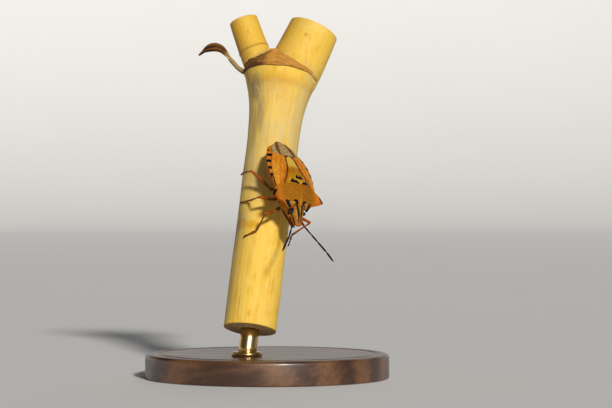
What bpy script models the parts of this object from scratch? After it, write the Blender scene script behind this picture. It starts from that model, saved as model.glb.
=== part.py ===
"""Shield bug (Carpocoris) walking head down on a cut dry stem, on a plain display stand.

Run in Blender: blender --background --python part.py

The insect is modelled in its own frame: +x runs forward to the head, +y to the insect's left and
+z up through its back. "Behind" is the distance back from the tip of the head, in millimetres.
The stem is modelled in a second frame: +z runs up its axis and -y faces the front of the stand.
An empty turns each of the two frames into place over the stand, whose base lies on z = 0.
"""

from math import cos, pi, radians, sin

import bmesh
import bpy
import numpy as np
from mathutils import Vector

MM = 0.001

# Display stand.
BASE_DIAMETER = 32.0
BASE_THICKNESS = 3.2
BASE_EDGE = 0.5
ROD_DIAMETER = 2.4

# Stem: a cut length with the node where it forks in two.
STEM_DIAMETER = 6.98
STEM_FOOT = Vector((-2.93, -6.15, 0.0))
STEM_LEAN_BACK = 16.3
STEM_LEAN_RIGHT = 6.7
STEM_CUT = 6.9
NODE_HEIGHT = 41.6
NODE_DIAMETER = 9.8
FORK_TOP = 48.9
SMALL_BRANCH_DIAMETER = 3.8
LARGE_BRANCH_DIAMETER = 6.7

# Insect.
BODY_LENGTH = 12.5
BODY_CENTRE = Vector((3.0, -5.5, 25.3))
BODY_ROLL = -16.9
BODY_PITCH = 58.0
BODY_HEADING = -62.0
CENTRE_BEHIND = 6.0
CENTRE_ABOVE = 2.5

GAP = 0.05
PLATE = 0.5
SHIELD = 0.38
LIMB_RADIUS = 0.25
COXA_RADIUS = 0.42
EYE_RADII = (0.33, 0.3, 0.36)
EYE_AT = (1.8, 1.19, 2.44)
SCUTELLUM_CORNER = 2.14

COLOURS = {
    "ochre": (0.55, 0.27, 0.05, 0.45, 0.0),
    "orange": (0.62, 0.20, 0.03, 0.45, 0.0),
    "dark": (0.05, 0.02, 0.015, 0.4, 0.0),
    "eye": (0.06, 0.02, 0.03, 0.2, 0.0),
    "membrane": (0.18, 0.13, 0.09, 0.3, 0.0),
    "straw": (0.72, 0.52, 0.18, 0.6, 0.0),
    "dry": (0.28, 0.10, 0.03, 0.7, 0.0),
    "walnut": (0.12, 0.06, 0.03, 0.4, 0.0),
    "brass": (0.70, 0.50, 0.20, 0.25, 1.0),
}


# ---------------------------------------------------------------- curves of the body


def smooth(x, stations, values):
    """Cubic curve through the given values, with slopes taken from the neighbouring points."""
    stations = np.asarray(stations, float)
    values = np.asarray(values, float)
    slopes = np.gradient(values, stations)
    x = np.clip(x, stations[0], stations[-1])
    k = np.clip(np.searchsorted(stations, x, side="right") - 1, 0, len(stations) - 2)
    width = stations[k + 1] - stations[k]
    t = (x - stations[k]) / width
    return (
        values[k] * (1 + 2 * t) * (1 - t) ** 2
        + slopes[k] * width * t * (1 - t) ** 2
        + values[k + 1] * t**2 * (3 - 2 * t)
        + slopes[k + 1] * width * t**2 * (t - 1)
    )


def blend(t):
    """Smooth step from 0 to 1."""
    t = np.clip(t, 0.0, 1.0)
    return t * t * (3.0 - 2.0 * t)


def wing_height(behind, side):
    """Height of the folded wings: a ridge line that falls away as the cube of the distance aside."""
    ridge = smooth(behind, [4.6, 5.6, 7.0, 9.6, 11.0, 12.5], [3.95, 4.0, 3.97, 3.66, 3.27, 2.78])
    return ridge - 1.0 * (np.abs(side) / 3.7) ** 3


def pronotum_height(behind, side):
    """Height of the pronotum: it rises to the rear, drops to the sides and lifts at the spines."""
    ridge = smooth(behind, [1.8, 2.28, 3.3, 4.2, 5.3], [2.95, 3.17, 3.75, 4.12, 4.32])
    drop = 0.95 * (1.0 - np.exp(-((side / 2.4) ** 2)))
    spine = 0.45 * blend((np.abs(side) - 3.0) / 1.28)
    return ridge - drop + spine


def pronotum_front(side):
    """Front margin: hollow behind the head, then concave from the front angle out to the spine."""
    stations = [0.0, 0.8, 1.3, 1.58, 1.8, 2.1, 2.6, 3.2, 3.8, 4.28]
    margin = [2.28, 2.26, 2.18, 1.97, 2.2, 2.48, 2.82, 3.03, 3.16, 3.28]
    return smooth(np.abs(side), stations, margin)


def pronotum_rear(side):
    """Rear margin: nearly straight over the scutellum, then forward and out to each spine."""
    stations = [0.0, 1.2, 2.2, 2.75, 3.2, 3.7, 4.1, 4.28]
    margin = [4.99, 5.04, 5.18, 5.14, 4.82, 4.22, 3.66, 3.43]
    return smooth(np.abs(side), stations, margin)


def scutellum_side(behind):
    """Half-width of the scutellum: narrowing to a blunt tongue."""
    stations = [5.0, 5.25, 6.2, 7.2, 8.2, 9.0, 9.4, 9.6]
    return smooth(behind, stations, [2.16, 2.14, 1.66, 1.16, 0.82, 0.66, 0.46, 0.14])


def corium_side(behind):
    """Distance of the corium's outer edge from the midline."""
    return smooth(behind, [4.6, 5.2, 6.0, 7.0, 8.0, 9.0, 9.95], [3.24, 3.34, 3.34, 3.22, 3.02, 2.74, 2.34])


def membrane_side(behind):
    """Distance of the membrane's outer edge from the midline."""
    stations = [9.6, 10.2, 10.8, 11.4, 11.9, 12.25, 12.5]
    return smooth(behind, stations, [2.36, 2.26, 2.04, 1.66, 1.18, 0.72, 0.16])


def membrane_overlap(behind):
    """Edge of the right membrane, which lies over the left one."""
    return smooth(behind, [9.7, 10.2, 10.8, 11.4, 11.9, 12.3], [0.2, 0.6, 0.86, 0.86, 0.66, 0.42])


def abdomen_side(behind):
    """Half-width of the abdomen."""
    stations = [5.6, 6.4, 7.2, 8.2, 9.2, 10.2, 11.0, 11.5, 11.85, 12.0]
    return smooth(behind, stations, [3.36, 3.52, 3.6, 3.58, 3.36, 2.9, 2.32, 1.8, 1.22, 0.8])


def suture(side):
    """Line behind which the wing is membrane."""
    return 9.68 + 0.28 * blend((np.abs(side) - 0.5) / 1.9)


def beneath(height, behind, side, depth):
    """Height of a surface lying at a given depth square to another surface."""
    step = 0.01
    across = (height(behind, side + step) - height(behind, side - step)) / (2 * step)
    along = (height(behind + step, side) - height(behind - step, side)) / (2 * step)
    return height(behind, side) - depth * np.sqrt(1.0 + across**2 + along**2)


def point(behind, side, height):
    """Point of the insect's frame, in metres, from its distance behind the tip of the head."""
    return np.stack(np.broadcast_arrays(CENTRE_BEHIND - behind, side, height - CENTRE_ABOVE), axis=-1) * MM


# ---------------------------------------------------------------- scene helpers


def clear_scene():
    for item in list(bpy.data.objects):
        bpy.data.objects.remove(item, do_unlink=True)


def new_collection(name):
    collection = bpy.data.collections.new(name)
    bpy.context.scene.collection.children.link(collection)
    return collection


def new_material(name, look):
    red, green, blue, roughness, metallic = COLOURS[look]
    material = bpy.data.materials.new(name)
    material.use_nodes = True
    shader = material.node_tree.nodes["Principled BSDF"]
    shader.inputs["Base Color"].default_value = (red, green, blue, 1.0)
    shader.inputs["Roughness"].default_value = roughness
    shader.inputs["Metallic"].default_value = metallic
    material.diffuse_color = (red, green, blue, 1.0)
    return material


class Workshop:
    """The collections and the two frames that every piece is placed in."""

    def __init__(self):
        self.pieces = new_collection("shield_bug_on_stem")
        self.cutters = new_collection("cutters")
        self.insect = self.empty("insect_frame", BODY_CENTRE, (BODY_ROLL, BODY_PITCH, BODY_HEADING))
        self.stem = self.empty("stem_frame", STEM_FOOT, (-STEM_LEAN_BACK, STEM_LEAN_RIGHT, 0.0))

    def empty(self, name, place, turn):
        frame = bpy.data.objects.new(name, None)
        frame.empty_display_size = 5 * MM
        frame.location = place * MM
        frame.rotation_euler = [radians(angle) for angle in turn]
        self.pieces.objects.link(frame)
        bpy.context.view_layer.update()
        return frame

    def add(self, name, mesh, look, frame=None):
        item = bpy.data.objects.new(name, mesh)
        mesh.materials.append(new_material(name, look))
        item.parent = frame
        self.pieces.objects.link(item)
        return item

    def cutter(self, name, mesh, frame):
        item = bpy.data.objects.new(name, mesh)
        item.parent = frame
        item.hide_render = True
        item.display_type = "WIRE"
        self.cutters.objects.link(item)
        return item


def boolean(item, cutter, operation):
    modifier = item.modifiers.new(operation.title(), "BOOLEAN")
    modifier.operation = operation
    modifier.solver = "EXACT"
    modifier.object = cutter


# ---------------------------------------------------------------- shapes


def plate_mesh(name, surface, along, across):
    """Grid whose points (p, q), each from 0 to 1, are laid on a surface."""
    mesh = bpy.data.meshes.new(name)
    shape = bmesh.new()
    bmesh.ops.create_grid(shape, x_segments=along, y_segments=across, size=0.5)
    for vertex in shape.verts:
        vertex.co = surface(vertex.co.x + 0.5, vertex.co.y + 0.5)
    shape.normal_update()
    if sum((face.normal.z * face.calc_area() for face in shape.faces)) < 0:
        bmesh.ops.reverse_faces(shape, faces=shape.faces)
    shape.to_mesh(mesh)
    shape.free()
    mesh.shade_smooth()
    return mesh


def plate(shop, name, look, surface, along, across, frame, thickness=PLATE):
    """Shell plate: an open surface thickened inwards."""
    item = shop.add(name, plate_mesh(name, surface, along, across), look, frame)
    solidify = item.modifiers.new("Thickness", "SOLIDIFY")
    solidify.thickness = thickness * MM
    solidify.offset = -1.0
    return item


def loft_mesh(name, rings):
    """Closed skin over a row of rings with the same number of points, capped at both ends."""
    mesh = bpy.data.meshes.new(name)
    shape = bmesh.new()
    rows = [[shape.verts.new(spot) for spot in ring] for ring in rings]
    count = len(rows[0])
    for row, following in zip(rows, rows[1:]):
        for k in range(count):
            shape.faces.new((row[k], row[(k + 1) % count], following[(k + 1) % count], following[k]))
    shape.faces.new(list(reversed(rows[0])))
    shape.faces.new(rows[-1])
    bmesh.ops.recalc_face_normals(shape, faces=shape.faces)
    shape.to_mesh(mesh)
    shape.free()
    mesh.shade_smooth()
    mesh.set_sharp_from_angle(angle=radians(50))
    return mesh


def ellipsoid_mesh(name, radii, segments=12, rings=8):
    mesh = bpy.data.meshes.new(name)
    shape = bmesh.new()
    bmesh.ops.create_uvsphere(shape, u_segments=segments, v_segments=rings, radius=MM)
    bmesh.ops.scale(shape, vec=radii, verts=shape.verts)
    shape.to_mesh(mesh)
    shape.free()
    mesh.shade_smooth()
    return mesh


def tube_rings(start, end, start_plane, end_plane, profile, sides):
    """Rings of a straight limb; the first and last lie in the planes where it meets its neighbours.

    profile lists (fraction along, radius in mm). A plane is its unit normal through the end point.
    """
    axis = (end - start).normalized()
    across = axis.orthogonal().normalized()
    other = axis.cross(across)
    rings = []
    for fraction, radius in profile:
        centre = start.lerp(end, fraction)
        plane = {0.0: start_plane, 1.0: end_plane}.get(fraction, axis)
        ring = []
        for k in range(sides):
            turn = 2 * pi * k / sides
            offset = (across * cos(turn) + other * sin(turn)) * radius * MM
            slide = -plane.dot(offset) / plane.dot(axis)
            ring.append(centre + offset + axis * slide)
        rings.append(ring)
    return rings


def chain(shop, names, looks, joints, profiles, sides, frame):
    """Limb segments from joint to joint, each its own object, mitred where they meet."""
    directions = [(b - a).normalized() for a, b in zip(joints, joints[1:])]
    planes = [directions[0]]
    for before, after in zip(directions, directions[1:]):
        planes.append((before + after).normalized())
    planes.append(directions[-1])
    for k, name in enumerate(names):
        axis = directions[k]
        start = joints[k] + axis * (GAP / 2 * MM / planes[k].dot(axis))
        end = joints[k + 1] - axis * (GAP / 2 * MM / planes[k + 1].dot(axis))
        rings = tube_rings(start, end, planes[k], planes[k + 1], profiles[k], sides)
        shop.add(name, loft_mesh(name, rings), looks[k], frame)


# ---------------------------------------------------------------- head


def head_ring(behind, count=16):
    """Section of the head: a thin side edge, a low crown and a deeper underside."""
    half = smooth(behind, [0.0, 0.15, 0.45, 0.9, 1.4, 1.8, 2.2], [0.22, 0.46, 0.6, 0.74, 0.94, 1.05, 1.12])
    edge = smooth(behind, [0.0, 1.0, 2.2], [1.95, 2.12, 2.3])
    crown = smooth(behind, [0.0, 0.3, 1.0, 1.7, 2.2], [2.06, 2.26, 2.62, 2.92, 3.08])
    floor = smooth(behind, [0.0, 0.3, 0.8, 1.5, 2.2], [1.84, 1.55, 1.22, 0.98, 0.84])
    turn = 2 * pi * np.arange(count) / count
    rise = np.abs(np.sin(turn)) ** 0.85
    above = np.sin(turn) >= 0
    height = np.where(above, edge + (crown - edge) * rise, edge - (edge - floor) * rise)
    side = half * np.cos(turn) * np.where(above, 1.0, 1.0 - 0.2 * rise)
    return [Vector(spot) for spot in point(behind, side, height)]


def build_head(shop):
    stations = [0.0, 0.08, 0.2, 0.4, 0.65, 0.95, 1.3, 1.6, 1.9, 2.2]
    head = shop.add("head", loft_mesh("head", [head_ring(u) for u in stations]), "ochre", shop.insect)
    for side, hand in ((1, "left"), (-1, "right")):
        behind, aside, height = EYE_AT
        centre = Vector(point(behind, side * aside, height))
        eye = shop.add(f"eye_{hand}", ellipsoid_mesh(f"eye_{hand}", EYE_RADII), "eye", shop.insect)
        eye.location = centre
        socket_radii = [radius + GAP for radius in EYE_RADII]
        socket = shop.cutter(f"socket_{hand}", ellipsoid_mesh(f"socket_{hand}", socket_radii), shop.insect)
        socket.location = centre
        boolean(head, socket, "DIFFERENCE")


def build_rostrum(shop):
    """Beak folded back under the head and between the coxae."""
    path = ((0.4, 1.12), (0.9, 0.82), (1.6, 0.62), (2.6, 0.3), (3.8, 0.12), (5.0, 0.08), (6.0, 0.06))
    joints = [Vector(point(behind, 0.0, height)) for behind, height in path]
    rings = []
    for k, joint in enumerate(joints):
        before = joints[max(k - 1, 0)]
        after = joints[min(k + 1, len(joints) - 1)]
        axis = (after - before).normalized()
        across = Vector((0.0, 1.0, 0.0))
        other = axis.cross(across)
        turns = [2 * pi * i / 8 for i in range(8)]
        rings.append([joint + (across * cos(a) + other * sin(a)) * LIMB_RADIUS * MM for a in turns])
    shop.add("rostrum", loft_mesh("rostrum", rings), "dark", shop.insect)


# ---------------------------------------------------------------- plates of the back


def pronotum_surface(p, q):
    side = 4.28 * (2 * q - 1)
    behind = (1 - p) * pronotum_front(side) + p * pronotum_rear(side)
    return point(behind, side, pronotum_height(behind, side))


def scutellum_height(behind, side):
    """Scutellum: a low swelling over the wing surface, highest near its base."""
    swelling = smooth(behind, [5.0, 6.5, 8.5, 9.6], [0.3, 0.26, 0.1, 0.04])
    return wing_height(behind, side) + swelling * (1 - (side / np.maximum(scutellum_side(behind), 0.1)) ** 2)


def scutellum_surface(p, q):
    along = 1 - (1 - p) ** 1.3
    corner = pronotum_rear(SCUTELLUM_CORNER) + GAP
    behind = corner + (9.6 - corner) * along
    side = (scutellum_side(behind) - GAP / 2) * (2 * q - 1)
    behind = behind + (pronotum_rear(side) + GAP - corner) * (1 - along) ** 3
    return point(behind, side, scutellum_height(behind, side))


def across_wing(inner, outer, p, q, front, rear=None):
    """Point between two edges of a wing, whose ends follow its front line and its rear line."""
    behind, side = (1 - q) * inner(p) + q * outer(p)
    behind_start, side_start = (1 - q) * inner(0.0) + q * outer(0.0)
    behind += (front(side_start) - behind_start) * (1 - p) ** 4
    if rear is not None:
        behind_end, side_end = (1 - q) * inner(1.0) + q * outer(1.0)
        behind += (rear(side_end) - behind_end) * p**4
    return behind, side


def corium_surface(p, q):
    """Leathery fore wing, from the scutellum's side (q = 0) to the outer edge (q = 1)."""

    def inner(p):
        behind = 5.27 + (9.64 - 5.27) * p
        return np.array([behind, scutellum_side(min(behind, 9.45)) + GAP / 2])

    def outer(p):
        behind = 4.86 + (9.93 - 4.86) * p
        return np.array([behind, corium_side(behind)])

    def front(side):
        return pronotum_rear(side) + 2 * GAP

    def rear(side):
        return suture(side) - GAP

    behind, side = across_wing(inner, outer, p, q, front, rear)
    return point(behind, side, wing_height(behind, side))


def membrane_surface(p, q, hand, inset, inner_tip, outer_tip):
    """Clear hind part of a fore wing, from the edge that crosses the midline to the outer edge."""

    def inner(p):
        behind = suture(0.0) + (inner_tip - suture(0.0)) * (1 - (1 - p) ** 1.35)
        return np.array([behind, membrane_overlap(behind) + inset])

    def outer(p):
        behind = 9.98 + (outer_tip - 9.98) * (1 - (1 - p) ** 1.35)
        return np.array([behind, hand * membrane_side(behind)])

    behind, side = across_wing(inner, outer, p, q, suture)
    return point(behind, side, wing_height(behind, side) - 0.04)


def right_membrane_surface(p, q):
    return membrane_surface(p, q, -1, 0.0, BODY_LENGTH - 0.08, BODY_LENGTH)


def left_membrane_surface(p, q):
    return membrane_surface(p, q, 1, GAP, BODY_LENGTH - 0.4, BODY_LENGTH - 0.36)


def connexivum_inner(behind):
    """Inner edge of the abdomen's rim, just outside the folded wing."""
    return np.where(behind < 9.94, corium_side(behind), membrane_side(behind)) + 2 * GAP


def connexivum_surface(p, q):
    behind = 6.3 + (11.45 - 6.3) * p
    side = (1 - q) * connexivum_inner(behind) + q * abdomen_side(behind)
    return point(behind, side, wing_height(behind, side) - 0.12)


def mirrored(surface):
    return lambda p, q: surface(p, q) * np.array([1.0, -1.0, 1.0])


def build_plates(shop):
    frame = shop.insect
    plate(shop, "pronotum", "orange", pronotum_surface, 8, 24, frame, SHIELD)
    plate(shop, "scutellum", "ochre", scutellum_surface, 12, 8, frame, SHIELD)
    plate(shop, "corium_left", "orange", corium_surface, 12, 6, frame)
    plate(shop, "corium_right", "orange", mirrored(corium_surface), 12, 6, frame)
    plate(shop, "membrane_left", "membrane", left_membrane_surface, 8, 4, frame)
    plate(shop, "membrane_right", "membrane", right_membrane_surface, 8, 8, frame)
    plate(shop, "connexivum_left", "orange", connexivum_surface, 14, 2, frame)
    plate(shop, "connexivum_right", "orange", mirrored(connexivum_surface), 14, 2, frame)


# ---------------------------------------------------------------- thorax and abdomen


def body_ring(behind, half, roof, edge_drop, floor, count=8):
    """Section of the trunk: its roof follows the plates, its floor is a shallow keel."""
    across = np.linspace(-1.0, 1.0, count + 1)
    top = roof(behind, half * across)
    edge = roof(behind, half) - edge_drop
    below = edge - (edge - floor) * (1 - across[1:-1] ** 2) ** 1.15
    upper = point(behind, half * across, top)
    rim_left = point(behind, half, edge)
    rim_right = point(behind, -half, edge)
    lower = point(behind, half * across[1:-1], below)[::-1]
    return [Vector(spot) for spot in (*upper, rim_left, *lower, rim_right)]


def under_pronotum(behind, side):
    front = beneath(pronotum_height, behind, side, PLATE + 2 * GAP)
    rear = beneath(wing_height, behind, side, PLATE + 2 * GAP)
    return np.where(behind < 4.4, front, np.minimum(front, rear))


def under_wings(behind, side):
    return beneath(wing_height, behind, side, PLATE + 0.12 + 2 * GAP)


def build_trunk(shop):
    thorax = []
    for behind in (2.34, 2.7, 3.1, 3.5, 4.0, 4.6, 5.2, 5.8, 6.3, 6.8):
        half = smooth(behind, [2.34, 2.8, 3.4, 4.2, 5.2, 6.8], [1.3, 1.9, 2.75, 3.1, 3.15, 3.42])
        floor = smooth(behind, [2.34, 3.0, 4.0, 6.8], [0.82, 0.62, 0.5, 0.47])
        roof = under_pronotum if behind < 5.2 else under_wings
        thorax.append(body_ring(behind, half, roof, 0.3, floor))
    shop.add("thorax", loft_mesh("thorax", thorax), "ochre", shop.insect)

    abdomen = []
    for behind in (6.85, 7.2, 7.7, 8.3, 9.0, 9.7, 10.3, 10.9, 11.4, 11.75, 11.95):
        half = abdomen_side(behind) - 0.28
        stations = [6.85, 7.3, 8.0, 9.0, 10.0, 11.0, 11.95]
        floor = smooth(behind, stations, [0.42, 0.2, 0.1, 0.22, 0.62, 1.22, 1.9])
        abdomen.append(body_ring(behind, half, under_wings, 0.06, floor))
    shop.add("abdomen", loft_mesh("abdomen", abdomen), "orange", shop.insect)


# ---------------------------------------------------------------- legs and antennae

# A leg's hip and knee are (behind, side, height) in the insect's frame. Its ankle and claw stand on
# the stem: (degrees round from the front, height up the stem, clearance over the bark).
LEGS = {
    "fore_right": ((3.5, -0.78), (2.79, -2.85, -0.52), (-9.3, 19.14, 0.45), (-36.8, 18.38, 0.31)),
    "fore_left": ((3.4, 0.78), (2.15, 4.15, 0.45), (68.0, 19.7, 0.75), (88.0, 18.6, 0.31)),
    "mid_right": ((4.95, -0.78), (5.14, -3.36, -0.24), (-30.8, 23.15, 0.45), (-63.1, 23.23, 0.31)),
    "mid_left": ((4.95, 0.78), (5.9, 3.8, 0.75), (88.0, 24.25, 0.47), (110.0, 24.8, 0.31)),
    "hind_right": ((6.3, -0.8), (8.97, -3.57, -0.06), (-55.1, 27.21, 0.45), (-86.2, 27.43, 0.31)),
    "hind_left": ((6.3, 0.8), (8.5, 3.8, 0.6), (98.0, 29.4, 0.45), (122.0, 29.8, 0.31)),
}

FEMUR_RADIUS = {"fore": 0.28, "mid": 0.28, "hind": 0.3}

# Antennal joints, base first, as (behind, side, height).
ANTENNAE = {
    "right": (
        (1.2, -0.98, 1.42),
        (0.3, -0.98, 1.95),
        (-0.83, -1.71, 2.1),
        (-1.94, -2.42, 2.11),
        (-3.27, -3.55, 2.24),
        (-4.54, -4.52, 2.19),
    ),
    "left": (
        (1.2, 0.98, 1.42),
        (0.15, 1.05, 1.95),
        (-0.83, 1.98, 1.88),
        (-1.73, 2.94, 1.75),
        (-2.98, 4.16, 1.63),
        (-4.06, 5.27, 1.34),
    ),
}


def on_stem(degrees, height, clearance):
    """Point over the stem's bark, in the stem's frame."""
    radius = STEM_DIAMETER / 2 + clearance
    turn = radians(degrees)
    return Vector((radius * sin(turn), -radius * cos(turn), height)) * MM


def limb_profile(first, middle, last):
    return [(0.0, first), (0.2, middle), (0.7, middle), (1.0, last)]


def build_legs(shop):
    to_insect = shop.insect.matrix_world.inverted() @ shop.stem.matrix_world
    for leg, (hip, knee, ankle, claw) in LEGS.items():
        coxa_centre = Vector(point(hip[0], hip[1], 0.0))
        coxa_mesh = ellipsoid_mesh(f"coxa_{leg}", [COXA_RADIUS] * 3, 10, 6)
        coxa = shop.add(f"coxa_{leg}", coxa_mesh, "ochre", shop.insect)
        coxa.location = coxa_centre
        knee = Vector(point(*knee))
        ankle = to_insect @ on_stem(*ankle)
        claw = to_insect @ on_stem(*claw)
        start = coxa_centre + (knee - coxa_centre).normalized() * (COXA_RADIUS + GAP / 2) * MM
        thick = FEMUR_RADIUS[leg.split("_")[0]]
        profiles = [
            limb_profile(LIMB_RADIUS, thick, LIMB_RADIUS),
            limb_profile(LIMB_RADIUS, LIMB_RADIUS, LIMB_RADIUS),
            limb_profile(LIMB_RADIUS, LIMB_RADIUS, LIMB_RADIUS),
        ]
        names = [f"{piece}_{leg}" for piece in ("femur", "tibia", "tarsus")]
        chain(shop, names, ("orange", "dark", "dark"), [start, knee, ankle, claw], profiles, 8, shop.insect)


def build_antennae(shop):
    for hand, spots in ANTENNAE.items():
        joints = [Vector(point(*spot)) for spot in spots]
        names = [f"antenna_{hand}_{k + 1}" for k in range(5)]
        profiles = [[(0.0, LIMB_RADIUS), (0.5, LIMB_RADIUS), (1.0, LIMB_RADIUS)]] * 5
        chain(shop, names, ("orange", "dark", "dark", "dark", "dark"), joints, profiles, 8, shop.insect)


# ---------------------------------------------------------------- stem


def stem_radius(height):
    """Radius of the stem, which swells into its node and draws in above it."""
    thin = STEM_DIAMETER / 2
    node = NODE_DIAMETER / 2
    distance = np.abs(NODE_HEIGHT - height)
    below = thin + (node - thin) * np.exp(-((distance / 3.3) ** 1.4))
    above = node - 0.9 * (1 - np.exp(-((distance / 1.6) ** 2)))
    return float(np.where(height < NODE_HEIGHT, below, above))


def round_rings(centres, radii, sides):
    """Rings round a path in the stem's frame, each square to the path."""
    rings = []
    for k, centre in enumerate(centres):
        before = centres[max(k - 1, 0)]
        after = centres[min(k + 1, len(centres) - 1)]
        axis = (after - before).normalized()
        across = Vector((0.0, -1.0, 0.0))
        across = (across - axis * across.dot(axis)).normalized()
        other = axis.cross(across)
        turns = [2 * pi * i / sides for i in range(sides)]
        rings.append([(centre + (across * cos(a) + other * sin(a)) * radii[k]) * MM for a in turns])
    return rings


# Each branch of the fork: where it leaves the node, how far it leans and how thick it is.
BRANCHES = {
    "small_branch": (Vector((-2.0, -0.3, 41.4)), -3.9, SMALL_BRANCH_DIAMETER),
    "large_branch": (Vector((1.1, 0.1, 41.8)), 2.5, LARGE_BRANCH_DIAMETER),
}


def branch_centre(branch, t):
    """Centre line of a branch, from its root (t = 0) to the level cut (t = 1)."""
    root, lean, _ = BRANCHES[branch]
    return root + Vector((lean * (0.35 * t + 0.65 * t**0.8), 0.0, (FORK_TOP - root.z) * t))


def branch_mesh(branch):
    diameter = BRANCHES[branch][2]
    steps = (0.0, 0.25, 0.5, 0.75, 1.0)
    centres = [branch_centre(branch, t) for t in steps]
    radii = [diameter / 2 * (1.1 - 0.1 * t) for t in steps]
    return loft_mesh(branch, round_rings(centres, radii, 20))


def fork_reach(degrees, height):
    """How far the node and its branches reach from the stem's axis, in one direction."""
    direction = Vector((sin(radians(degrees)), -cos(radians(degrees))))
    reach = stem_radius(height)
    for branch, (root, _, diameter) in BRANCHES.items():
        t = (height - root.z) / (FORK_TOP - root.z)
        centre = branch_centre(branch, max(t, 0.0)).xy
        radius = diameter / 2 * 1.12
        aside = direction.cross(centre)
        if t > 0 and abs(aside) < radius:
            reach = max(reach, direction.dot(centre) + (radius**2 - aside**2) ** 0.5)
    return reach


def scale_surface(p, q):
    """Triangular scale that clasps the front of the node, its point in the crotch of the fork."""
    degrees = -76 + 152 * p
    rise = smooth(degrees, [-76, -55, -32, -12, 8, 30, 50, 76], [0.8, 1.2, 1.6, 2.35, 1.6, 0.85, 0.4, 0.3])
    height = NODE_HEIGHT - 0.15 + rise * q
    reach = max(fork_reach(degrees, height), NODE_DIAMETER / 2 - 0.35 * rise * q) + 2 * GAP
    turn = radians(degrees)
    return Vector((reach * sin(turn), -reach * cos(turn), height)) * MM


def bract_surface(p, q):
    """Blade of the dry bract: it rises, bends over and narrows to a point, with its sides curled in."""
    out = smooth(p, [0.0, 0.3, 0.6, 0.85, 1.0], [7.1, 8.4, 9.7, 10.7, 11.2])
    height = smooth(p, [0.0, 0.3, 0.6, 0.85, 1.0], [43.4, 44.6, 44.8, 44.2, 43.4])
    half = smooth(p, [0.0, 0.25, 0.6, 1.0], [0.35, 0.75, 0.7, 0.3])
    aside = 2 * q - 1
    curl = 0.55 * half * aside**2
    return Vector((-out, half * aside * (1 - 0.2 * aside**2), height + curl)) * MM


def build_stem(shop):
    heights = [STEM_CUT, 14.0, 24.0, 32.0, 35.5, 37.9, 39.4, 40.6, 41.3, 41.7, 42.2, 43.2, 44.4]
    centres = [Vector((0.0, 0.0, height)) for height in heights]
    radii = [stem_radius(height) for height in heights]
    radii[-1] = 3.2
    stem_mesh = loft_mesh("perch_stem", round_rings(centres, radii, 24))
    stem = shop.add("perch_stem", stem_mesh, "straw", shop.stem)
    for branch in BRANCHES:
        boolean(stem, shop.cutter(branch, branch_mesh(branch), shop.stem), "UNION")

    scale = plate(shop, "perch_scale", "dry", scale_surface, 16, 4, shop.stem)
    scale.modifiers["Thickness"].offset = 1.0

    bract = plate(shop, "perch_bract", "dry", bract_surface, 10, 4, shop.stem)
    stalk_spots = ((-5.05, 0, 41.8), (-5.7, 0, 42.2), (-6.5, 0, 42.9), (-7.5, 0, 43.9))
    stalk_path = [Vector(spot) for spot in stalk_spots]
    stalk = loft_mesh("stalk", round_rings(stalk_path, [0.34, 0.3, 0.28, 0.26], 8))
    boolean(bract, shop.cutter("stalk", stalk, shop.stem), "UNION")


# ---------------------------------------------------------------- stand


def build_stand(shop):
    mesh = bpy.data.meshes.new("stand_base")
    shape = bmesh.new()
    radius = BASE_DIAMETER / 2 * MM
    bmesh.ops.create_cone(
        shape, cap_ends=True, segments=64, radius1=radius, radius2=radius, depth=BASE_THICKNESS * MM
    )
    shape.to_mesh(mesh)
    shape.free()
    base = shop.add("stand_base", mesh, "walnut")
    base.location.z = BASE_THICKNESS / 2 * MM
    bevel = base.modifiers.new("Edge", "BEVEL")
    bevel.width = BASE_EDGE * MM
    bevel.segments = 2
    bevel.limit_method = "ANGLE"

    up = (shop.stem.matrix_world.inverted().to_3x3() @ Vector((0.0, 0.0, 1.0))).normalized()
    axis = Vector((0.0, 0.0, 1.0))
    foot = axis * ((BASE_THICKNESS + GAP) / up.dot(axis)) * MM
    top = axis * (STEM_CUT - GAP) * MM
    rings = tube_rings(foot, top, up, axis, [(0.0, ROD_DIAMETER / 2), (1.0, ROD_DIAMETER / 2)], 20)
    shop.add("stand_rod", loft_mesh("stand_rod", rings), "brass", shop.stem)


def main():
    clear_scene()
    shop = Workshop()
    build_head(shop)
    build_rostrum(shop)
    build_plates(shop)
    build_trunk(shop)
    build_legs(shop)
    build_antennae(shop)
    build_stem(shop)
    build_stand(shop)


main()
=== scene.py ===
"""Finished looks for a life-size shield bug (Carpocoris) walking head down on a dry stem.

The insect is worked out in its own frame, in millimetres: +x forward to the head, +y to its left
and +z up through its back. "Behind" is the distance back from the tip of the head, "side" the
distance to the left of the midline and "aside" the distance from it on either hand. The stem has
a second frame: +z runs up its axis and -y faces the front. Both are turned into the row's frame.
"""

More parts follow.
